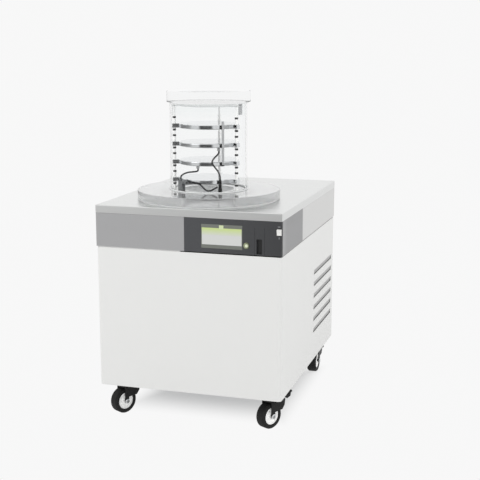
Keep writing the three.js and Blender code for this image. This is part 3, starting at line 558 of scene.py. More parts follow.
SCREEN_GREEN = Finish(
    "green screen header", "display_glass", (0.505, 0.60, 0.255), 0.16, mottle=0.05, coat=0.3, glow=0.10,
    fade=(2, DISPLAY_TOP - 15 * MM, DISPLAY_TOP - 33 * MM, (0.57, 0.58, 0.55)),
)
BUTTON_RIM = Finish("grey-green cap", "white_plastic", (0.30, 0.33, 0.22), 0.3, mottle=0.02, coat=0.3)
BUTTON_FACE = Finish(
    "pale green lens", "white_plastic", (0.68, 0.73, 0.52), 0.25, mottle=0.02, coat=0.4, glow=0.06,
)
# Painted shade: the ring darkens from 4 mm left of the button's middle to 9 mm right of it, standing in for
# the shade on its right side.
ACCENT_GREEN = Finish(
    "yellow-green ring", "white_plastic", (0.32, 0.36, 0.20), 0.35,
    fade=(0, BUTTON_X - 4 * MM, BUTTON_X + 9 * MM, (0.03, 0.035, 0.012)),
)
WHITE_PLASTIC = Finish(
    "white moulded plastic", "white_plastic", (0.82, 0.82, 0.80), 0.32, mottle=0.02, coat=0.2,
)
MARK_GREY = Finish("printed grey marks", "white_plastic", (0.30, 0.31, 0.32), 0.5)
BLACK_PLASTIC = Finish(
    "black moulded plastic", "black_plastic", (0.013, 0.013, 0.013), 0.42, fineness=1400.0, relief=0.25,
    dust=0.05, ior=1.32,
)
GREY_PLASTIC = Finish("grey moulded plastic", "grey_plastic", (0.16, 0.165, 0.17), 0.45, relief=0.2)
ENAMEL = Finish(
    "black compressor enamel", "black_enamel", (0.012, 0.012, 0.013), 0.25, coat=0.6, mottle=0.06,
)
ACRYLIC = Finish(
    "clear acrylic", "acrylic", (0.985, 0.99, 0.99), 0.01, grain=Grain.CLEAR, fineness=60.0, relief=0.02,
    mottle=0.0, transmission=1.0, ior=1.025, coat=0.08, coat_roughness=0.04,
)
LID_ACRYLIC = replace(ACRYLIC, name="thick lid acrylic", color=(0.968, 0.972, 0.972))
CAST_ACRYLIC = replace(
    ACRYLIC, name="thick cast acrylic", color=(0.66, 0.67, 0.67), roughness=0.14, transmission=0.72,
    ior=1.12, coat=1.0, coat_roughness=0.06,
)
SEAL_RUBBER = Finish(
    "black seal rubber", "seal_rubber", (0.02, 0.02, 0.021), 0.6, fineness=1600.0, relief=0.2,
)
SILICONE = Finish("pale silicone seal", "seal_rubber", (0.76, 0.77, 0.77), 0.5, fineness=1200.0, relief=0.1)
# Painted light: the glow lifts the shaded inner face of the drum's seal.
SILICONE_PAINTED_LIGHT = replace(SILICONE, name="silicone seal with painted light", glow=0.08)
GUIDE_GREY = Finish(
    "grey nylon guide", "grey_plastic", (0.42, 0.425, 0.43), 0.3, fineness=1200.0, relief=0.1, coat=0.2,
)
LEAD_SLEEVE = Finish(
    "black lead sleeve", "seal_rubber", (0.024, 0.024, 0.025), 0.38, fineness=2200.0, relief=0.2,
)
TYRE_RUBBER = Finish(
    "black tyre rubber", "tyre", (0.010, 0.010, 0.010), 0.62, fineness=1500.0, relief=0.3, dust=0.07,
    ior=1.3,
)
# Painted light: the glow brightens the hubs, which give no light of their own.
HUB_PLASTIC = Finish(
    "pale hub plastic with painted light", "hub_plastic", (0.93, 0.93, 0.92), 0.35, mottle=0.02, dust=0.04, glow=0.14,
)
GALVANISED = Finish(
    "zinc coated sheet", "galvanised", (0.50, 0.52, 0.53), 0.42, metallic=0.9, fineness=120.0, relief=0.05,
    mottle=0.12,
)
FIN_METAL = Finish("plain aluminium", "aluminium_fins", (0.68, 0.69, 0.70), 0.35, metallic=1.0, relief=0.1)
COPPER = Finish("drawn copper", "copper", (0.78, 0.40, 0.24), 0.28, metallic=1.0, mottle=0.08, relief=0.05)


# ---- Surfaces ----------------------------------------------------------------------------------


UPRIGHT = np.eye(3)
FACING_FRONT = np.array([[1.0, 0.0, 0.0], [0.0, 0.0, 1.0], [0.0, -1.0, 0.0]])


@dataclass
class Grid:
    """A surface given as a grid of points.

    Attributes:
        points: rows by columns by 3.
        round_rows: the last row joins the first.
        round_cols: the last column joins the first.
        capped: the first and last rows are closed by a face each.
    """

    points: Array
    round_rows: bool = False
    round_cols: bool = True
    capped: bool = False

    def faces(self) -> list[list[int]]:
        """Returns the quads between neighbouring points, worked out as whole index arrays, and the caps."""
        rows, cols = self.points.shape[:2]
        row = np.arange(rows if self.round_rows else rows - 1)[:, None]
        col = np.arange(cols if self.round_cols else cols - 1)[None, :]
        next_row, next_col = (row + 1) % rows, (col + 1) % cols
        near, far = row * cols, next_row * cols
        corners = np.broadcast_arrays(near + col, near + next_col, far + next_col, far + col)
        quads = np.stack([corner.ravel() for corner in corners], axis=1).tolist()
        if self.capped:
            quads.append(list(range(cols))[::-1])
            quads.append(list(range((rows - 1) * cols, rows * cols)))
        return quads

    def moved(self, origin: Sequence[float] | Array, axes: Array = UPRIGHT) -> Grid:
        """Returns the grid in another frame: a point is origin + x, y and z times the rows of axes."""
        return replace(self, points=self.points @ axes + origin)


def rounded(corners: Points | Array, radii: Sequence[float] | float, steps: int = 5) -> Array:
    """Rounds the corners of a closed outline.

    Each corner gives way to an arc that touches both its edges: the arc's centre lies on the bisector, at
    radius / sin(half the angle), and it starts and ends radius / tan(half the angle) from the corner.

    Args:
        corners: the outline's corners, in order.
        radii: one radius for all corners, or one for each.
        steps: parts of each arc.

    Returns:
        The points of the outline.
    """
    given = np.array(corners, dtype=float)
    outline = []
    for index, (corner, radius) in enumerate(zip(given, np.broadcast_to(radii, len(given)))):
        if radius <= 0:
            outline.append(corner[None, :])
            continue
        before = given[index - 1] - corner
        after = given[(index + 1) % len(given)] - corner
        before /= np.linalg.norm(before)
        after /= np.linalg.norm(after)
        half = 0.5 * math.acos(float(np.clip(before @ after, -1, 1)))
        bisector = (before + after) / np.linalg.norm(before + after)
        centre = corner + bisector * radius / math.sin(half)
        reach = radius / math.tan(half)
        start, end = corner + before * reach - centre, corner + after * reach - centre
        first = math.atan2(start[1], start[0])
        turn = (math.atan2(end[1], end[0]) - first + math.pi) % (2 * math.pi) - math.pi
        angles = first + turn * np.linspace(0, 1, steps + 1)
        outline.append(centre + radius * np.stack([np.cos(angles), np.sin(angles)], axis=1))
    return np.concatenate(outline)


def rectangle(half_x: float, half_y: float, radius: float, steps: int = 5) -> Array:
    """Returns a rounded rectangle about the origin, counter-clockwise."""
    corners = np.array([[-1, -1], [1, -1], [1, 1], [-1, 1]]) * [half_x, half_y]
    return rounded(corners, radius, steps)


def band(near: float, far: float, low: float, high: float, edge: float) -> Array:
    """Returns the section of a sheet that stands from low to high, between two distances behind its face."""
    return rounded([[near, low], [near, high], [far, high], [far, low]], edge, 2)


def ring_profile(inner: float, outer: float, low: float, high: float, edge: float) -> Array:
    """Returns the rounded rectangle that a ring or a tube is turned from."""
    return rounded([[inner, low], [outer, low], [outer, high], [inner, high]], edge, 3)


def mirrored(half: Points, reach: float) -> list[list[float]]:
    """Returns a profile with two like sides, each of points (radius, depth under a face at that reach)."""
    near = [[radius, depth - reach] for radius, depth in half]
    return near + [[radius, -height] for radius, height in near[::-1]]


def subdivided(outline: Array, longest: float) -> Array:
    """Adds evenly spaced points to the long edges of a closed outline.

    Args:
        outline: the outline's points.
        longest: no edge of the result is longer than this.

    Returns:
        The points with the new ones between them.
    """
    pieces = []
    for start, end in zip(outline, np.roll(outline, -1, axis=0)):
        parts = max(1, math.ceil(np.linalg.norm(end - start) / longest))
        pieces.append(start + (end - start) * np.linspace(0, 1, parts, endpoint=False)[:, None])
    return np.concatenate(pieces)


def outward(line: Array, closed: bool = True) -> Array:
    """Finds the unit normals on the right of a line, square to the way from one neighbour to the other.

    Args:
        line: points of an outline that runs counter-clockwise, or of an open line.
        closed: the last point's neighbour is the first.

    Returns:
        A normal for each point.
    """
    along = np.roll(line, -1, axis=0) - np.roll(line, 1, axis=0) if closed else np.gradient(line, axis=0)
    normals = np.stack([along[:, 1], -along[:, 0]], axis=1)
    return normals / np.linalg.norm(normals, axis=1, keepdims=True)


def turned(profile: Array | Points, sides: int = 96, closed: bool = True) -> Grid:
    """A profile turned about Z: a point (r, z) at angle a goes to (r cos a, r sin a, z).

    Args:
        profile: points (radius, height).
        sides: steps round the axis.
        closed: the profile is a closed ring; otherwise it starts and ends on the axis.

    Returns:
        The surface about the local Z axis.
    """
    radii, heights = np.array(profile, dtype=float).T
    angles = np.linspace(0, 2 * math.pi, sides, endpoint=False)[:, None]
    x, y = radii * np.cos(angles), radii * np.sin(angles)
    points = np.stack([x, y, np.broadcast_to(heights, x.shape)], axis=2)
    return Grid(points, round_rows=True, round_cols=closed)


def slab(outline: Array, low: float, high: float, edge: float, steps: int = 3) -> Grid:
    """A flat body with an outline and rounded rims.

    Row k is the outline moved inwards along its normals by edge (1 - sin a), while the height goes by
    edge (1 - cos a), through the quarter turn a of each rim.

    Args:
        outline: the outline in the local XY plane, counter-clockwise.
        low: the height of the lower face.
        high: the height of the upper face.
        edge: the radius of both rims.
        steps: parts of each rim.

    Returns:
        The closed surface.
    """
    angles = np.linspace(0, math.pi / 2, steps + 1)
    inset, rise = edge * (1 - np.sin(angles)), edge * (1 - np.cos(angles))
    insets = np.concatenate([inset, inset[::-1]])
    heights = np.concatenate([low + rise, high - rise[::-1]])
    flat = outline[None, :, :] - outward(outline)[None, :, :] * insets[:, None, None]
    z = np.broadcast_to(heights[:, None, None], (*flat.shape[:2], 1))
    return Grid(np.concatenate([flat, z], axis=2), capped=True)


def wall(path: Array, profile: Array, normals: Array | None = None) -> Grid:
    """A standing wall: a profile (distance behind the path, height) carried along a path on the floor plan.

    Args:
        path: points (x, y) of the outer face.
        profile: closed profile of points (offset inwards, height).
        normals: outward unit normals at the path's points, where they aren't worked out from it.

    Returns:
        The closed surface.
    """
    normals = outward(path, closed=False) if normals is None else normals
    flat = path[:, None, :] - normals[:, None, :] * profile[None, :, 0, None]
    z = np.broadcast_to(profile[None, :, 1, None], (*flat.shape[:2], 1))
    return Grid(np.concatenate([flat, z], axis=2), capped=True)


def smooth_path(points: Array, count: int) -> Array:
    """A centripetal Catmull-Rom curve through the points.

    Between points 1 and 2 the curve is the Hermite cubic whose end slopes are the centripetal ones:
    (p1 - p0) / d0 - (p2 - p0) / (d0 + d1) + (p2 - p1) / d1, times d1, with d the square root of each span.

    Args:
        points: the points that it passes.
        count: points of the result.

    Returns:
        The points of the curve, evenly spread over the spans.
    """
    line = np.concatenate([[2 * points[0] - points[1]], points, [2 * points[-1] - points[-2]]])
    spans = np.sqrt(np.linalg.norm(np.diff(line, axis=0), axis=1))[:, None]
    place = np.linspace(0, len(points) - 1, count)
    left = np.minimum(place.astype(int), len(points) - 2)
    t = (place - left)[:, None]
    p0, p1, p2, p3 = (line[left + k] for k in range(4))
    d0, d1, d2 = (spans[left + k] for k in range(3))
    start = ((p1 - p0) / d0 - (p2 - p0) / (d0 + d1) + (p2 - p1) / d1) * d1
    end = ((p2 - p1) / d1 - (p3 - p1) / (d1 + d2) + (p3 - p2) / d2) * d1
    to_p1, to_p2 = 2 * t**3 - 3 * t**2 + 1, 3 * t**2 - 2 * t**3
    return to_p1 * p1 + (t**3 - 2 * t**2 + t) * start + to_p2 * p2 + (t**3 - t**2) * end


def tube(path: Array, radius: float, sides: int = 16) -> Grid:
    """A round tube along a path that never runs along Y.

    The ring at a point lies in the plane of two unit vectors across the path: its tangent crossed with Y,
    and the tangent crossed with that.

    Args:
        path: points of the centre line.
        radius: the tube's radius.
        sides: points of each ring.

    Returns:
        The closed surface.
    """
    tangent = np.gradient(path, axis=0)
    tangent /= np.linalg.norm(tangent, axis=1, keepdims=True)
    across = np.cross(tangent, np.array([0.0, 1.0, 0.0]))
    across /= np.linalg.norm(across, axis=1, keepdims=True)
    other = np.cross(tangent, across)
    angles = np.linspace(0, 2 * math.pi, sides, endpoint=False)[None, :, None]
    ring = across[:, None, :] * np.cos(angles) + other[:, None, :] * np.sin(angles)
    return Grid(path[:, None, :] + radius * ring, capped=True)


def weld(mesh: bpy.types.Mesh, recalculate: bool, flatten_degrees: float = 0.0) -> None:
    """Merges doubled points in a mesh, and joins faces that lie in one plane if asked to.

    Args:
        mesh: the mesh to change.
        recalculate: also turns its faces outwards.
        flatten_degrees: faces within this angle of each other become one face; 0 leaves them.
    """
    work = bmesh.new()
    work.from_mesh(mesh)
    bmesh.ops.remove_doubles(work, verts=work.verts, dist=2e-6)
    bmesh.ops.dissolve_degenerate(work, edges=work.edges, dist=1e-7)
    if flatten_degrees:
        angle = math.radians(flatten_degrees)
        bmesh.ops.dissolve_limit(work, angle_limit=angle, verts=work.verts, edges=work.edges)
    if recalculate:
        bmesh.ops.recalc_face_normals(work, faces=work.faces)
    work.to_mesh(mesh)
    work.free()


def shaded(name: str, mesh: bpy.types.Mesh, sharp: float) -> bpy.types.Object:
    """Puts a mesh into the scene.

    Args:
        name: the object's name.
        mesh: its mesh.
        sharp: edges that bend more than this many degrees are shaded sharp.

    Returns:
        The new object.
    """
    mesh.shade_smooth()
    mesh.set_sharp_from_angle(angle=math.radians(sharp))
    made = bpy.data.objects.new(name, mesh)
    bpy.context.scene.collection.objects.link(made)
    return made


def make_object(name: str, grids: Sequence[Grid], sharp: float = 35.0) -> bpy.types.Object:
    """Puts grids into one mesh, closes poles and seams and turns the faces outwards.

    Args:
        name: the object's name.
        grids: the surfaces.
        sharp: edges that bend more than this many degrees are shaded sharp.

    Returns:
        The object, linked to the scene.
    """
    points: list[list[float]] = []
    faces: list[list[int]] = []
    for grid in grids:
        faces += [[index + len(points) for index in face] for face in grid.faces()]
        points += grid.points.reshape(-1, 3).tolist()
    mesh = bpy.data.meshes.new(name)
    mesh.from_pydata(points, [], faces)
    weld(mesh, recalculate=True)
    return shaded(name, mesh, sharp)


# ---- Assemblies --------------------------------------------------------------------------------


@dataclass
class Assembly:
    """A group of pieces that belongs together.

    Attributes:
        made: every piece made so far.
    """

    made: list[bpy.types.Object] = field(default_factory=list)

    def dress(self, piece: bpy.types.Object, finish: Finish, body: str, node: str) -> None:
        """Gives a piece its finish and its place in the object.

        Args:
            piece: the new object.
            finish: its finish.
            body: the body that it moves with.
            node: the frame's node that it stands for, if there is one.
        """
        piece.data.materials.clear()
        piece.data.materials.append(finish.material())
        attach(piece, body)
        even = piece.modifiers.new("even shading", "WEIGHTED_NORMAL")
        even.keep_sharp = True
        if node:
            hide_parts(node)
        self.made.append(piece)
        LOG.info("%s: %s on %s", piece.name, finish.name, body)

    def surface(
        self, name: str, grids: Grid | Sequence[Grid], finish: Finish, node: str = "", body: str = "root",
        sharp: float = 35.0,
    ) -> bpy.types.Object:
        """Makes a piece from worked-out surfaces and dresses it.

        Args:
            name: the piece's name.
            grids: its surfaces.
            finish: its finish.
            node: the frame's node that it stands for, if there is one.
            body: the body that it moves with.
            sharp: edges that bend more than this many degrees are shaded sharp.

        Returns:
            The piece.
        """
        piece = make_object(name, [grids] if isinstance(grids, Grid) else grids, sharp)
        self.dress(piece, finish, body, node)
        return piece

    def refined(
        self, node: str, finish: Finish, edge: float = 0.4 * MM, body: str = "root", sharp: float = 35.0
    ) -> None:
        """Replaces a node by a welded copy whose sharp edges are broken by a small radius.

        Args:
            node: the frame's node.
            finish: the copy's finish.
            edge: the radius of the broken edges.
            body: the body that it moves with.
            sharp: edges that bend more than this many degrees are broken.
        """
        mesh = frame["nodes"][node].data.copy()
        mesh.name = f"{node}_finished"
        weld(mesh, recalculate=False, flatten_degrees=0.5)
        piece = shaded(mesh.name, mesh, sharp)
        if edge:
            bevel = piece.modifiers.new("broken edges", "BEVEL")
            bevel.width = edge
            bevel.segments = 2
            bevel.limit_method = "ANGLE"
            bevel.angle_limit = math.radians(sharp)
            bevel.harden_normals = False
        self.dress(piece, finish, body, node)


@dataclass
class Cabinet(Assembly):
    """The sheet-metal cabinet.

    Attributes:
        sheet: thickness of the body's sheet.
        corner: radius of the body's upright corners.
        edge: radius of a cut sheet edge.
        lip: thickness of the worktop's turned-down lip.
        plate: thickness of the worktop.
        fold: outer radius of the worktop's folds.
        opening: radius of the worktop's round opening.
        point: radius of the worktop's corners seen from above.
        spacing: longest step between points of the worktop's outline.
        tongue: height that the body's inner tongue stands above its skin.
        play: how far that tongue stands into the skin's thickness.
        shadow: open joint between body and head.
        pocket: gap between the tongue of the front and the control panel.
    """

    sheet: float = 2 * MM
    corner: float = 10 * MM
    edge: float = 0.5 * MM
    lip: float = 2 * MM
    plate: float = 3 * MM
    fold: float = 2.2 * MM
    opening: float = 157 * MM
    point: float = 1.2 * MM
    spacing: float = 24 * MM
    tongue: float = 20 * MM
    play: float = 0.2 * MM
    shadow: float = 3 * MM
    pocket: float = 14 * MM

    def build(self) -> None:
        """Makes every sheet of the cabinet."""
        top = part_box("front_fascia")[0][2] - self.shadow
        self.front_panel(top)
        self.left_side(top)
        # The right side's louvres get painted shade in their recesses.
        self.refined("right_side_panel", LOUVRE_PAINTED_SHADE, 0.3 * MM)
        self.refined("rear_panel", WHITE_PAINT, 0.3 * MM)
        self.worktop()
        self.refined("front_fascia", DARK_FASCIA, 0.5 * MM)
        self.refined("rear_band", LIGHT_FASCIA, 0.5 * MM)
        self.refined("base_frame", GALVANISED, 0.4 * MM)

    def front_panel(self, top: float) -> None:
        """The front, wrapped round both corners: a skin along the U-shaped plan, and its upper tongue left
        of the control panel, where there is room for it.

        Args:
            top: the upper edge of the skin.
        """
        low, high = box("front_panel")
        corners = [[low[0], high[1]], [low[0], low[1]], [high[0], low[1]], [high[0], high[1]]]
        path = rounded(corners, [0.0, self.corner, self.corner, 0.0], 12)
        skin = band(0.0, self.sheet, low[2], top, self.edge)
        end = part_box("control_panel")[0][0] - self.pocket
        short = np.concatenate([path[path[:, 0] < end], [[end, low[1]]]])
        joggle = self.sheet - self.play
        tongue = band(joggle, joggle + self.sheet, top - self.tongue, top + self.tongue, self.edge)
        walls = [wall(path, skin), wall(short, tongue)]
        self.surface("front_panel_sheet", walls, WHITE_PAINT, "front_panel")

    def left_side(self, top: float) -> None:
        """The plain side: one flat sheet with its tongue, as a section carried along Y.

        Args:
            top: the upper edge of the skin.
        """
        low, high = box("left_side_panel")
        t, joggle = self.sheet, self.sheet - self.play
        bottom, over, under = low[2], top + self.tongue, top - self.tongue
        corners = [
            [0.0, bottom], [0.0, top], [joggle, top], [joggle, over],
            [joggle + t, over], [joggle + t, under], [t, under], [t, bottom],
        ]
        section = rounded(corners, self.edge * np.array([1, 1, 0, 1, 1, 0, 0, 1]), 2)
        path = np.array([[low[0], high[1]], [low[0], low[1]]])
        self.surface("left_side_sheet", wall(path, section), WHITE_PAINT, "left_side_panel")

    def worktop(self) -> None:
        """The worktop: rings from the round opening out over the rounded fold, down the lip and back.

        Each ring has one point for every point of the outer outline. A ring of the opening lies at the same
        direction from the chamber's axis, so the top is the straight blend of the two.
        """
        low, high = box("worktop")
        half, top = (high - low) / 2, high[2]
        outline = subdivided(rectangle(half[0], half[1], self.point, 4), self.spacing)
        outline += middle("worktop")[:2]
        normals = outward(outline)
        away = outline - AXIS[:2]
        hole = AXIS[:2] + self.opening * away / np.linalg.norm(away, axis=1, keepdims=True)
        rings = [(hole + (outline - hole) * share, top) for share in (0.0, 0.2, 0.5, 0.8)]
        for angle in np.linspace(0, math.pi / 2, 6):
            inset = self.fold * (1 - math.sin(angle))
            rings.append((outline - normals * inset, top - self.fold * (1 - math.cos(angle))))
        inner = outline - normals * self.lip
        rings += [(outline, low[2]), (inner, low[2]), (inner, top - self.plate), (hole, top - self.plate)]
        points = np.stack([np.concatenate([flat, np.full((len(flat), 1), z)], axis=1) for flat, z in rings])
        self.surface("worktop_sheet", Grid(points, round_rows=True), WORKTOP_STEEL, "worktop")


@dataclass
class Controls(Assembly):
    """The control panel with its display, button, recess and rocker switch.

    Attributes:
        bezel: width of the display's frame at its sides.
        head: width of the display's frame at its top.
        chin: width of the display's frame at its bottom.
        header: height of the green header.
        layer: thickness of a printed or lit layer.
        button: radius of the push button.
        ring: outer radius of the ring round it.
        mark: distance of the printed marks from the middle of the rocker.
        tab: half sides of the pale tab.
        recess: where the recess's middle is, as x and z.
        liner: half sides of its liner.
        liner_depth: how far the liner's face lies behind the panel's.
    """

    bezel: float = 2.2 * MM
    head: float = 11 * MM
    chin: float = 11.5 * MM
    header: float = 22 * MM
    layer: float = 0.35 * MM
    button: float = 7 * MM
    ring: float = 9.5 * MM
    mark: float = 17 * MM
    tab: tuple[float, float] = (7 * MM, 6 * MM)
    recess: tuple[float, float] = (229.5 * MM, 599.5 * MM)
    liner: tuple[float, float] = (8.2 * MM, 22.2 * MM)
    liner_depth: float = 7.65 * MM

    def build(self) -> None:
        """Makes the panel and everything on it."""
        self.refined("control_panel", ANTHRACITE, 0.35 * MM)
        face = float(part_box("control_panel")[0][1])
        self.display()
        self.push_button(face)
        self.switch(face)
        liner = slab(rectangle(*self.liner, 0.3 * MM, 2), -0.3 * MM, 0.0, 0.1 * MM, 2)
        x, z = self.recess
        self.surface("recess_liner", liner.moved([x, face + self.liner_depth, z], FACING_FRONT), SLOT_BLACK)

    def printed(self, outline: Array, x: float, z: float, y: float) -> Grid:
        """Returns a lit or printed layer with its front face at y."""
        return slab(outline, -self.layer * 0.9, 0.0, 0.1 * MM, 2).moved([x, y, z], FACING_FRONT)

    def display(self) -> None:
        """The display: a grey frame, a lit field, a green header that fades into it, and a tab on top."""
        low, high = box("display")
        x, face, z = middle("display")[0], low[1], middle("display")[2]
        half = (high - low) / 2
        body = slab(rectangle(half[0], half[2], 1.5 * MM, 4), low[1] - high[1], 0.0, 0.3 * MM)
        self.surface("display_frame", body.moved([x, face, z], FACING_FRONT), SCREEN_FRAME, "display")
        top, bottom, front = high[2] - self.head, low[2] + self.chin, face - self.layer
        width, split = half[0] - self.bezel, top - self.header
        lit = rectangle(width, (split - bottom) / 2, 0.4 * MM, 2)
        self.surface("display_field", self.printed(lit, x, (bottom + split) / 2, front), SCREEN_FIELD)
        green = rectangle(width, self.header / 2, 0.4 * MM, 2)
        self.surface("display_header", self.printed(green, x, top - self.header / 2, front), SCREEN_GREEN)
        tab = rectangle(*self.tab, 0.6 * MM, 3)
        over = self.printed(tab, x - 1 * MM, top + self.tab[1] / 2, front - self.layer)
        self.surface("display_tab", over, SCREEN_TAB)

    def push_button(self, face: float) -> None:
        """The round cap with a dished face and a lens, and the yellow-green ring that it moves in, with
        painted shade on the ring's right side.

        Args:
            face: y of the panel's face.
        """
        low, high = box("push_button")
        x, z = middle("push_button")[[0, 2]]
        radius, back = self.button, low[1] - high[1]
        cap = rounded(
            [[0.0, back], [radius, back], [radius, 0.0], [radius * 0.74, -0.1 * MM], [0.0, -0.7 * MM]],
            [0.0, 0.3 * MM, 0.8 * MM, 0.4 * MM, 0.0], 4,
        )
        lens = rounded(
            [[0.0, -0.9 * MM], [radius * 0.66, -0.9 * MM], [radius * 0.66, 0.25 * MM], [0.0, 0.5 * MM]],
            [0.0, 0.0, 0.5 * MM, 0.0], 4,
        )
        for name, profile, sides, finish, node in (
            ("push_button_cap", cap, 48, BUTTON_RIM, "push_button"),
            ("push_button_lens", lens, 40, BUTTON_FACE, ""),
        ):
            grid = turned(profile, sides, closed=False).moved([x, low[1], z], FACING_FRONT)
            self.surface(name, grid, finish, node, body="button")
        ring = ring_profile(radius + 0.35 * MM, self.ring, 0.02 * MM, 1.1 * MM, 0.35 * MM)
        self.surface("button_ring", turned(ring, 56).moved([x, face, z], FACING_FRONT), ACCENT_GREEN)

    def switch(self, face: float) -> None:
        """The rocker in its own frame, and a plain mark over and under it.

        Args:
            face: y of the panel's face.
        """
        self.refined("main_switch", WHITE_PLASTIC, 0.4 * MM, body="rocker", sharp=25)
        x, z = middle("main_switch")[[0, 2]]
        marks = [
            slab(rectangle(half_x, half_z, 0.4 * MM, 3), -0.1 * MM, 0.0, 0.03 * MM, 2).moved(
                [x, face - 0.12 * MM, z + way * self.mark], FACING_FRONT
            )
            for half_x, half_z, way in ((4 * MM, 1 * MM, 1), (1 * MM, 3 * MM, -1))
        ]
        self.surface("switch_marks", marks, MARK_GREY)


@dataclass
class Chamber(Assembly):
    """The clear drying chamber, its rack and what is inside it.

    Attributes:
        drum_wall: thickness of the drum.
        disc_bore: radius of the opening in the base disc.
        spigot: inner and outer radius of the ring under the lid.
        spigot_reach: how far it hangs into the drum.
        bar: radius of the outer face of the grey bar inside the spigot, painted shade standing in for the
            dark edge that refraction gives the clear ring.
        bar_bearings: where that bar starts and ends, in degrees from +X.
        seal: inner radius of the wide seal under the disc.
        seal_step: radius of the step under that seal.
        gasket: inner radius of the thin seals.
        sleeve: radius of a rod's clamping sleeve.
        sleeve_up: reach of a sleeve over the middle of its shelf.
        sleeve_down: reach of a sleeve under the middle of its shelf.
        collar: radius of the dark rings that end each sleeve.
        rod: radius of a bare rod.
        foot: radius and height of a rod's foot.
        cap: height of the sleeve at a rod's top.
        guide: inner and outer radius of the upright guide tube.
        guide_place: where that tube stands, from the chamber's axis.
        rim: radius inside a shelf's rim at which the guide tube's clips start.
        lead: radius of a lead.
    """

    drum_wall: float = 6 * MM
    disc_bore: float = 80 * MM
    spigot: tuple[float, float] = (114.9 * MM, 116 * MM)
    spigot_reach: float = 41 * MM
    bar: float = 114.6 * MM
    bar_bearings: tuple[float, float] = (-16.2, -5.0)
    seal: float = 152.5 * MM
    seal_step: float = 175.3 * MM
    gasket: float = 116 * MM
    sleeve: float = 4.6 * MM
    sleeve_up: float = 29.5 * MM
    sleeve_down: float = 16 * MM
    collar: float = 5.4 * MM
    rod: float = 3 * MM
    foot: float = 5 * MM
    cap: float = 14 * MM
    guide: tuple[float, float] = (2.6 * MM, 4.2 * MM)
    guide_place: tuple[float, float] = (70.3 * MM, -73.0 * MM)
    rim: float = 96.3 * MM
    lead: float = 2.5 * MM

    def build(self) -> None:
        """Makes the seals, the clear pieces, the rack and the leads."""
        self.leads()
        self.clear_pieces()
        self.seals()
        for index in range(1, 5):
            self.refined(f"shelf_{index}", SHELF_STEEL, 0.6 * MM, sharp=30)
        self.refined("rack_top_plate", PLATE_STEEL, 0.3 * MM, sharp=30)
        for side in ("left", "right", "rear"):
            self.rack_rod(side)
        self.guide_tube()
        self.heater_plug()
        self.refined("terminal_block", GREY_PLASTIC, 0.8 * MM, sharp=30)

    def clear_pieces(self) -> None:
        """The base disc with its bore, the drum and the thick lid, with small polished edges."""
        radius, low, high = span("chamber_disc")
        disc = turned(ring_profile(self.disc_bore, radius, low, high, 2 * MM), 160)
        self.surface("base_disc_plate", disc.moved(AXIS), CAST_ACRYLIC, "chamber_disc")
        radius, low, high = span("drum")
        drum = turned(ring_profile(radius - self.drum_wall, radius, low, high, 0.8 * MM), 144)
        self.surface("drum_wall", drum.moved(AXIS), ACRYLIC, "drum")
        radius, low, high = span("lid")
        edges = [0.0, 2.5 * MM, 2.5 * MM, 0.0]
        profile = rounded([[0.0, low], [radius, low], [radius, high], [0.0, high]], edges, 4)
        self.surface("lid_plate", turned(profile, 144, closed=False).moved(AXIS), LID_ACRYLIC, "lid")
        spigot = turned(ring_profile(*self.spigot, low - self.spigot_reach, low, 0.4 * MM), 128)
        self.surface("lid_spigot", spigot.moved(AXIS), ACRYLIC)
        self.spigot_shade_bar(low)

    def spigot_shade_bar(self, top: float) -> None:
        """The grey bar inside the spigot, painted shade standing in for the dark edge that refraction gives
        the clear ring: a slab bent to its radius, as a section carried along an arc.

        Args:
            top: the underside of the lid.
        """
        angles = np.radians(np.linspace(*self.bar_bearings, 14))
        normals = np.stack([np.cos(angles), np.sin(angles)], axis=1)
        section = band(0.0, 2 * MM, top - 38 * MM, top - 2 * MM, 0.6 * MM)
        self.surface("spigot_shade_bar", wall(self.bar * normals + AXIS[:2], section, normals), GUIDE_GREY)

    def seals(self) -> None:
        """The wide seal under the disc, and a thin one at each end of the drum."""
        radius, low, high = span("vessel_gasket")
        under, top = low + 2 * MM, high - 0.2 * MM
        profile = rounded(
            [
                [self.seal, under], [self.seal_step, under], [self.seal_step, low], [radius, low],
                [radius, top], [self.seal, top],
            ],
            [0.3 * MM, 0.0, 0.3 * MM, 0.6 * MM, 0.6 * MM, 0.3 * MM], 3,
        )
        self.surface("vessel_seal", turned(profile, 144).moved(AXIS), SILICONE, "vessel_gasket")
        # The drum's seal glows with painted light.
        for end, finish in (("drum", SILICONE_PAINTED_LIGHT), ("lid", SILICONE)):
            radius, low, high = span(f"{end}_gasket")
            seal = turned(ring_profile(self.gasket, radius, low, high, 1.2 * MM), 128)
            self.surface(f"{end}_seal", seal.moved(AXIS), finish, f"{end}_gasket")

    def rack_rod(self, side: str) -> None:
        """A rod: one turned profile of foot, bare rod and sleeves, with a dark ring at each sleeve's end.

        Args:
            side: which rod; the rear one has no dark rings.
        """
        node = f"rack_rod_{side}"
        (_, _, low), (_, _, high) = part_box(node)
        first, last = (middle(f"shelf_{index}")[2] for index in (1, 4))
        heights = first + (last - first) / 3 * np.arange(4)
        corners = [[0.0, low], [self.foot, low], [self.foot, low + self.foot], [self.rod, low + self.foot]]
        for height in heights:
            under, over = height - self.sleeve_down, height + self.sleeve_up
            corners += [[self.rod, under], [self.sleeve, under], [self.sleeve, over], [self.rod, over]]
        cap = high - self.cap
        corners += [[self.rod, cap], [self.sleeve, cap], [self.sleeve, high], [0.0, high]]
        place = stand(node)
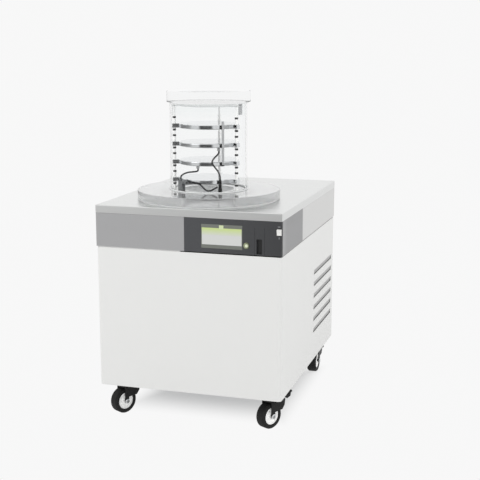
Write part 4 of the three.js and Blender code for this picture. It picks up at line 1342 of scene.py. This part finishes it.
        # The sleeves' finish glows with painted light.
        self.surface(f"{node}_turned", turned(corners, 24, closed=False).moved(place), SLEEVE_WHITE, node)
        if side == "rear":
            return
        half = 3 * MM
        rings = []
        for height in heights:
            for z in (height - self.sleeve_down + half, height + self.sleeve_up - half):
                ring = ring_profile(self.sleeve + 0.05 * MM, self.collar, z - half, z + half, 0.5 * MM)
                rings.append(turned(ring, 24).moved(place))
        self.surface(f"{node}_rings", rings, SEAL_RUBBER)

    def guide_tube(self) -> None:
        """The upright tube in front of the three upper shelves, and the dark clip that holds it to each rim.

        A clip is a block that reaches from inside the rim's face to a little past the middle of the tube,
        turned to the tube's own bearing from the axis.
        """
        x, y = self.guide_place
        place = AXIS + np.array([x, y, 0.0])
        shelves = [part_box(f"shelf_{index}") for index in (2, 3, 4)]
        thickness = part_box("shelf_1")[1][2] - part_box("shelf_1")[0][2]
        bottom, top = shelves[0][1][2] - 9 * MM, shelves[2][1][2] + 12 * MM
        profile = ring_profile(*self.guide, bottom, top, 0.4 * MM)
        self.surface("guide_tube", turned(profile, 32).moved(place), GUIDE_GREY)
        bearing = math.atan2(y, x)
        out = np.array([math.cos(bearing), math.sin(bearing), 0.0])
        axes = np.stack([np.array([-out[1], out[0], 0.0]), out, np.array([0.0, 0.0, 1.0])])
        left, right, near, far = -6.5 * MM, 4.5 * MM, self.rim - math.hypot(x, y), 1.5 * MM
        outline = rounded([[left, near], [right, near], [right, far], [left, far]], 1.2 * MM, 4)
        clips = []
        for _, (_, _, over) in shelves:
            clips.append(slab(outline, over - thickness, over, 0.8 * MM).moved(place, axes))
        self.surface("guide_clips", clips, BLACK_PLASTIC)

    def heater_plug(self) -> None:
        """The heater plug: a collar, a slimmer body and a tapered top."""
        radius, low, high = span("heater_plug")
        body = radius - 1 * MM
        profile = rounded(
            [
                [0.0, low], [radius, low], [radius, low + 12 * MM], [body, low + 13 * MM],
                [body, high - 8 * MM], [3.2 * MM, high], [0.0, high],
            ],
            [0.0, 0.4 * MM, 0.4 * MM, 0.3 * MM, 2 * MM, 0.6 * MM, 0.0], 3,
        )
        plug = turned(profile, 40, closed=False).moved(stand("heater_plug"))
        self.surface("heater_plug_body", plug, BLACK_PLASTIC, "heater_plug")

    def leads(self) -> None:
        """The three flexible leads, each along the route of its solid."""
        for name, route, ends in LEADS:
            path = smooth_path(np.array(route) * MM + AXIS, 90)
            piece = self.surface(f"{name}_sleeve", tube(path, self.lead), LEAD_SLEEVE, name, sharp=60)


# The route of each lead in millimetres from the chamber's axis and the floor, and what it joins.
LEADS = (
    (
        "lead_left",
        [
            (-68.1, -78.8, 771.5), (-68.1, -78.8, 775), (-66.5, -79, 782), (-59, -78, 788.5),
            (-46, -73, 793.5), (-33, -66, 795), (-23, -62.3, 796), (-17, -62, 798.5), (-16, -62, 801.5),
            (-16, -62, 805.5),
        ],
        "the terminal block and shelf 2",
    ),
    (
        "lead_loop",
        [
            (-41, -100, 764), (-36, -102.7, 764), (-26, -104.3, 764), (-14, -103.6, 763.6),
            (-3, -102.2, 762.4), (6, -101.2, 758.5), (13, -100.4, 751.5), (20, -99.2, 744.5),
            (29, -96.9, 740.6), (38, -93.6, 742), (46, -90.3, 746.5), (52, -87.8, 750), (57.4, -85.6, 751.5),
        ],
        "the terminal block and the heater plug",
    ),
    (
        "lead_right",
        [
            (64, -83, 777.4), (64, -83, 783), (62, -84.5, 793), (57, -87, 804), (50, -90.2, 814),
            (43.5, -92.8, 824), (41.5, -92.8, 832.5), (44.5, -87, 841), (48.5, -77, 848), (51.2, -66, 853),
            (52, -60, 856.5), (52, -58, 860), (52, -58, 863.1),
        ],
        "the heater plug and shelf 3",
    ),
)


@dataclass
class Castors(Assembly):
    """The four castors.

    Attributes:
        wheel: radius of the tyre.
        width: width of the tyre.
        hub: radius where hub and tyre meet.
        hub_width: width of the hub.
        bore: radius of the hub's bore.
        fork: distance of the fork's outer faces from the wheel's middle.
    """

    wheel: float = 42 * MM
    width: float = 34 * MM
    hub: float = 28 * MM
    hub_width: float = 30 * MM
    bore: float = 5.3 * MM
    fork: float = 22 * MM

    def build(self) -> None:
        """Makes each castor's plate, fork, wheel and brake pedal."""
        for corner in CORNERS:
            self.wheel_pieces(corner)
            self.refined(f"castor_fork_{corner}", BLACK_PLASTIC, 1.1 * MM, f"swivel_{corner}", sharp=30)
            self.refined(f"castor_plate_{corner}", BLACK_PLASTIC, 0.5 * MM, sharp=30)
            if corner.startswith("front"):
                self.refined(f"brake_pedal_{corner}", BLACK_PLASTIC, 0.8 * MM, f"brake_{corner}", sharp=30)

    def wheel_pieces(self, corner: str) -> None:
        """The tyre with its rounded tread and shoulders, the hub with a recess on both faces, and a domed
        cap over each end of the axle. All are turned about the wheel's axle.

        Args:
            corner: which castor.
        """
        joint = JOINTS[f"wheel_spin_{corner}"]
        along = np.array(joint["axis"], dtype=float)
        along /= np.linalg.norm(along)
        up = np.array([0.0, 0.0, 1.0])
        axes = np.stack([np.cross(up, along), up, along])
        place = np.array(joint["pos_m"], dtype=float)
        tyre = [
            (self.hub + 0.2 * MM, 2 * MM, 0.5 * MM), (self.hub + 4 * MM, 0.0, 2 * MM),
            (self.wheel - 4 * MM, 0.0, 4 * MM), (self.wheel, 5 * MM, 4 * MM),
        ]
        hub = [
            (self.bore, 0.0), (11 * MM, 0.0), (13 * MM, 8 * MM), (21 * MM, 9 * MM), (23.5 * MM, 1 * MM),
            (self.hub, 1 * MM),
        ]
        tread = mirrored([point[:2] for point in tyre], self.width / 2)
        shoulders = [point[2] for point in tyre]
        # The hub's finish glows with painted light.
        for part, profile, sides, finish in (
            ("tyre", rounded(tread, shoulders + shoulders[::-1], 4), 96, TYRE_RUBBER),
            ("hub", rounded(mirrored(hub, self.hub_width / 2), 0.8 * MM, 3), 72, HUB_PLASTIC),
        ):
            grid = turned(profile, sides).moved(place, axes)
            self.surface(f"{part}_{corner}", grid, finish, f"castor_{part}_{corner}", body=f"wheel_{corner}")
        cap = rounded(
            [[0.0, 0.0], [8 * MM, 0.0], [8 * MM, 2 * MM], [5.5 * MM, 4 * MM], [0.0, 4.3 * MM]],
            [0.0, 0.0, 0.6 * MM, 1.5 * MM, 0.0], 4,
        ) + np.array([0.0, self.fork])
        caps = [turned(cap * [1, end], 32, closed=False).moved(place, axes) for end in (-1, 1)]
        self.surface(f"axle_caps_{corner}", caps, ROD_STEEL, body=f"swivel_{corner}")


@dataclass
class Machinery(Assembly):
    """The refrigeration unit and what joins it to the rear.

    Attributes:
        pot: outer and inner radius of the vessel.
        drain: radius of its drain hole.
        flange: thickness of its flange.
    """

    pot: tuple[float, float] = (153 * MM, 150.5 * MM)
    drain: float = 8 * MM
    flange: float = 2 * MM

    def build(self) -> None:
        """Finishes the pieces inside the cabinet and on its rear."""
        self.vessel()
        for node, finish in (
            ("condenser_coil", VESSEL_STEEL), ("suction_pipe", COPPER), ("discharge_pipe", COPPER),
            ("drain_spout", GREY_PLASTIC),
        ):
            self.refined(node, finish, 0.0, sharp=62)
        self.refined("compressor", ENAMEL, 1.5 * MM, sharp=40)
        self.refined("heat_exchanger", FIN_METAL, 0.2 * MM)
        self.refined("fan_shroud", GALVANISED, 0.4 * MM, sharp=30)
        self.refined("fan_rotor", BLACK_PLASTIC, 0.3 * MM, body="fan", sharp=30)
        self.refined("mains_inlet", BLACK_PLASTIC, 0.3 * MM)
        self.refined("vacuum_port", ROD_STEEL, 0.4 * MM, sharp=40)

    def vessel(self) -> None:
        """The pot: wall, dished floor with its drain hole, and the flange that lies on the worktop."""
        rim, low, high = span("condenser_vessel")
        outer, inner = self.pot
        under = high - self.flange
        profile = rounded(
            [
                [rim, under], [rim, high], [inner, high], [inner, low + 10.5 * MM],
                [self.drain, low + 2.5 * MM], [self.drain, low], [outer, low + 8 * MM], [outer, under],
            ],
            [0.5 * MM, 0.5 * MM, 1.5 * MM, 8 * MM, 0.0, 0.0, 10 * MM, 0.0], 4,
        )
        self.surface("condenser_pot", turned(profile, 112).moved(AXIS), VESSEL_STEEL, "condenser_vessel")


# ---- Studio ------------------------------------------------------------------------------------


# Each lamp's name, place, length of side and power in watts.
LAMPS = (("key", (-2.2, -2.6, 3.2), 2.2, 34.0), ("side", (3.2, -0.6, 2.2), 1.8, 14.0))

# How bright each card is, by its bearing in degrees from +X: near eye level, and below it.
UPPER_CARDS = (
    (-180, 0.26), (-167, 0.28), (-150, 0.42), (-136, 0.80), (-112, 0.80), (-104, 0.06), (-62, 0.06),
    (-54, 0.85), (-30, 0.85), (-16, 0.50), (8, 0.50), (20, 0.92), (70, 0.92), (98, 0.92), (110, 0.26),
    (180, 0.26),
)
LOWER_CARDS = (
    (-180, 0.85), (-160, 0.85), (-135, 0.57), (-60, 0.63), (-50, 0.90), (-16, 0.90), (-8, 0.20), (14, 0.20),
    (24, 0.80), (90, 0.86), (118, 0.95), (126, 0.20), (150, 0.20), (160, 0.85),
)


@dataclass
class Studio:
    """The floor, the light and the camera.

    Attributes:
        camera_place: where the camera stands.
        camera_towards: the direction that it looks in.
        lens: focal length in millimetres.
        sensor: width of the sensor in millimetres.
        white: brightness of the backdrop that the camera sees.
        dome: brightness of the light from below and from above.
        card_join: heights, on a sphere of radius 1, between which the lower cards give way to the upper.
        card_top: heights there between which the upper cards give way to the plain dome.
        over_cards: brightness of the mirrored dome over the cards.
        bounce: brightness of the floor, and of the dome, to what isn't seen or mirrored straight away.
        floor_radius: how far the floor reaches.
        floor_tints: the two shades of the floor near the object.
        lift: the floor's own light, which keeps its shadow pale.
        unshaded: how much of the footprint's front the light gets under.
        run_out: how far inside the footprint the shade starts to fade.
    """

    camera_place: tuple[float, float, float] = (1.0301, -3.26425, 1.1962)
    camera_towards: tuple[float, float, float] = (-0.2819, 0.9405, -0.1896)
    lens: float = 76.458
    sensor: float = 36.0
    white: float = 0.935
    dome: tuple[float, float] = (0.84, 1.0)
    card_join: tuple[float, float] = (-0.164, -0.144)
    card_top: tuple[float, float] = (-0.055, -0.01)
    over_cards: Color = (0.97, 0.97, 0.97)
    bounce: Color = (0.85, 0.85, 0.85)
    floor_radius: float = 12.0
    floor_tints: tuple[Color, Color] = ((0.43, 0.43, 0.43), (0.46, 0.46, 0.46))
    lift: float = 0.36
    unshaded: float = 96 * MM
    run_out: float = 115 * MM

    def build(self) -> None:
        """Sets up everything round the object."""
        self.camera()
        self.world()
        self.floor()
        for lamp in LAMPS:
            self.lamp(*lamp)
        bpy.context.scene.view_settings.view_transform = "Standard"

    def placed(self, data: bpy.types.ID, place: Sequence[float], towards: Vector) -> bpy.types.Object:
        """Puts a camera or a lamp into the scene.

        Args:
            data: its settings.
            place: where it stands.
            towards: the direction that it faces.

        Returns:
            The new object, with +Z up.
        """
        made = bpy.data.objects.new(data.name, data)
        made.location = place
        made.rotation_euler = towards.to_track_quat("-Z", "Y").to_euler()
        bpy.context.scene.collection.objects.link(made)
        return made

    def camera(self) -> None:
        """The camera, aimed along its direction."""
        data = bpy.data.cameras.new("camera")
        data.lens = self.lens
        data.sensor_width = self.sensor
        data.clip_end = 100.0
        bpy.context.scene.camera = self.placed(data, self.camera_place, Vector(self.camera_towards))

    def lamp(self, name: str, place: tuple[float, float, float], size: float, watts: float) -> None:
        """A square soft lamp that faces the middle of the object.

        Args:
            name: the lamp's name.
            place: where it hangs.
            size: the length of its side.
            watts: its power.
        """
        data = bpy.data.lights.new(name, "AREA")
        data.shape = "SQUARE"
        data.size = size
        data.energy = watts
        made = self.placed(data, place, Vector((0.0, 0.0, 0.5)) - Vector(place))
        made.visible_camera = False
        made.visible_glossy = False

    def world(self) -> None:
        """A white backdrop for the camera and for clear pieces, a plain dome for the light, and for what
        polished metal mirrors a dome with darker cards round its lower part.

        Only metal in the open, or behind the drum's wall with its two faces on the way in and two on the way
        out, mirrors the cards. Clear pieces by themselves, and the second bounce, mirror a plain dome.
        """
        world = bpy.data.worlds.new("studio")
        bpy.context.scene.world = world
        world.use_nodes = True
        world.node_tree.nodes.clear()
        nodes = Nodes(world.node_tree)
        x, y, z = nodes.parts(nodes.add("ShaderNodeTexCoord").outputs["Generated"])
        turn = nodes.math("ADD", nodes.math("DIVIDE", nodes.math("ARCTAN2", y, x), 2 * math.pi), 0.5)
        high, low = (self.cards(nodes, turn, levels) for levels in (UPPER_CARDS, LOWER_CARDS))
        cards = nodes.colors(nodes.step(z, *self.card_join), low, high)
        dome = nodes.colors(nodes.step(z, *self.card_top), cards, self.over_cards)
        path = nodes.add("ShaderNodeLightPath").outputs
        again = nodes.math("GREATER_THAN", path["Glossy Depth"], 1.5)
        from_two = nodes.math("ABSOLUTE", nodes.math("SUBTRACT", path["Transmission Depth"], 2.0))
        from_none_or_four = nodes.math("ABSOLUTE", nodes.math("SUBTRACT", from_two, 2.0))
        inside = nodes.math("GREATER_THAN", from_none_or_four, 1.5)
        dome = nodes.colors(nodes.math("MAXIMUM", again, inside), dome, self.bounce)
        plain = nodes.add("ShaderNodeBackground", Color=WHITE, Strength=nodes.ramp(z, -0.1, 0.9, *self.dome))
        mirrored_dome = nodes.add("ShaderNodeBackground", Color=dome, Strength=1.0)
        white = nodes.add("ShaderNodeBackground", Color=WHITE, Strength=self.white)
        light = nodes.shaders(nodes.rays("Is Glossy Ray", "Is Transmission Ray"), plain, mirrored_dome)
        straight = nodes.math("LESS_THAN", path["Glossy Depth"], 0.5)
        through = nodes.math("MULTIPLY", path["Is Transmission Ray"], straight)
        shown = nodes.shaders(nodes.math("MAXIMUM", path["Is Camera Ray"], through), light, white)
        nodes.add("ShaderNodeOutputWorld", Surface=shown.outputs[0])

    def cards(self, nodes: Nodes, turn: Socket, levels: Sequence[tuple[float, float]]) -> Socket:
        """Makes the ramp that holds how bright the cards are.

        Args:
            nodes: the world's node helper.
            turn: the bearing of the direction, from 0 at -180 degrees to 1 at 180.
            levels: the bearing in degrees and the brightness of each step.

        Returns:
            The brightness as a colour.
        """
        node = nodes.add("ShaderNodeValToRGB", Fac=turn)
        elements = node.color_ramp.elements
        while len(elements) < len(levels):
            elements.new(0.5)
        for element, (bearing, level) in zip(elements, levels):
            element.position = (bearing + 180) / 360
            element.color = (level, level, level, 1.0)
        return node.outputs[0]

    def past_shade(self, nodes: Nodes, place: Socket) -> Socket:
        """Finds how far a place on the floor lies outside the shade under the object.

        It is the larger of |x| - a and half of |y - c| - b, where the box of half sides a and b about (0, c)
        is the footprint without the part of its front that the light gets under.

        Args:
            nodes: the floor's node helper.
            place: Object coordinates.

        Returns:
            The distance in metres.
        """
        x, y, _ = nodes.parts(place)
        (left, front, _), (right, rear, _) = CAD_BOUNDS
        front += self.unshaded
        across = nodes.math("SUBTRACT", nodes.math("ABSOLUTE", x), (right - left) / 2)
        along = nodes.math("ABSOLUTE", nodes.math("SUBTRACT", y, (front + rear) / 2))
        along = nodes.math("SUBTRACT", along, (rear - front) / 2)
        return nodes.math("MAXIMUM", across, nodes.math("MULTIPLY", along, 0.5))

    def floor(self) -> None:
        """A wide floor that keeps the object's shadow near it and runs out into the white backdrop."""
        radius, top = self.floor_radius, -0.2 * MM
        profile = [[0.0, top - 20 * MM], [radius, top - 20 * MM], [radius, top], [0.0, top]]
        floor = make_object("floor", [turned(profile, 96, closed=False)])
        material = bpy.data.materials.new("pale floor")
        material.use_nodes = True
        material.node_tree.nodes.clear()
        nodes = Nodes(material.node_tree)
        place = nodes.add("ShaderNodeTexCoord").outputs["Object"]
        tint = nodes.colors(nodes.noise(place, 3.0, 2.0), *self.floor_tints)
        near = nodes.add("ShaderNodeAddShader")
        nodes.feed(near, 0, nodes.add("ShaderNodeBsdfDiffuse", Color=tint).outputs[0])
        nodes.feed(near, 1, nodes.add("ShaderNodeEmission", Strength=self.lift).outputs[0])
        white = nodes.add("ShaderNodeEmission", Strength=self.white)
        far = nodes.step(self.past_shade(nodes, place), -self.run_out, 0.0)
        seen = nodes.shaders(far, near, white)
        bounced = nodes.add("ShaderNodeBsdfDiffuse", Color=(*self.bounce, 1.0))
        shown = nodes.rays("Is Camera Ray", "Is Glossy Ray", "Is Transmission Ray")
        final = nodes.shaders(shown, bounced, seen)
        nodes.add("ShaderNodeOutputMaterial", Surface=final.outputs[0])
        floor.data.materials.append(material)
        floor.visible_glossy = False
        floor.visible_transmission = False


def main() -> None:
    """Builds the studio and each assembly, and logs every piece."""
    logging.basicConfig(level=logging.INFO, format="%(name)s %(message)s")
    Studio().build()
    total = 0
    for assembly in (Chamber(), Cabinet(), Controls(), Castors(), Machinery()):
        assembly.build()
        total += len(assembly.made)
    LOG.info("%d pieces", total)


if __name__ == "__main__":
    main()
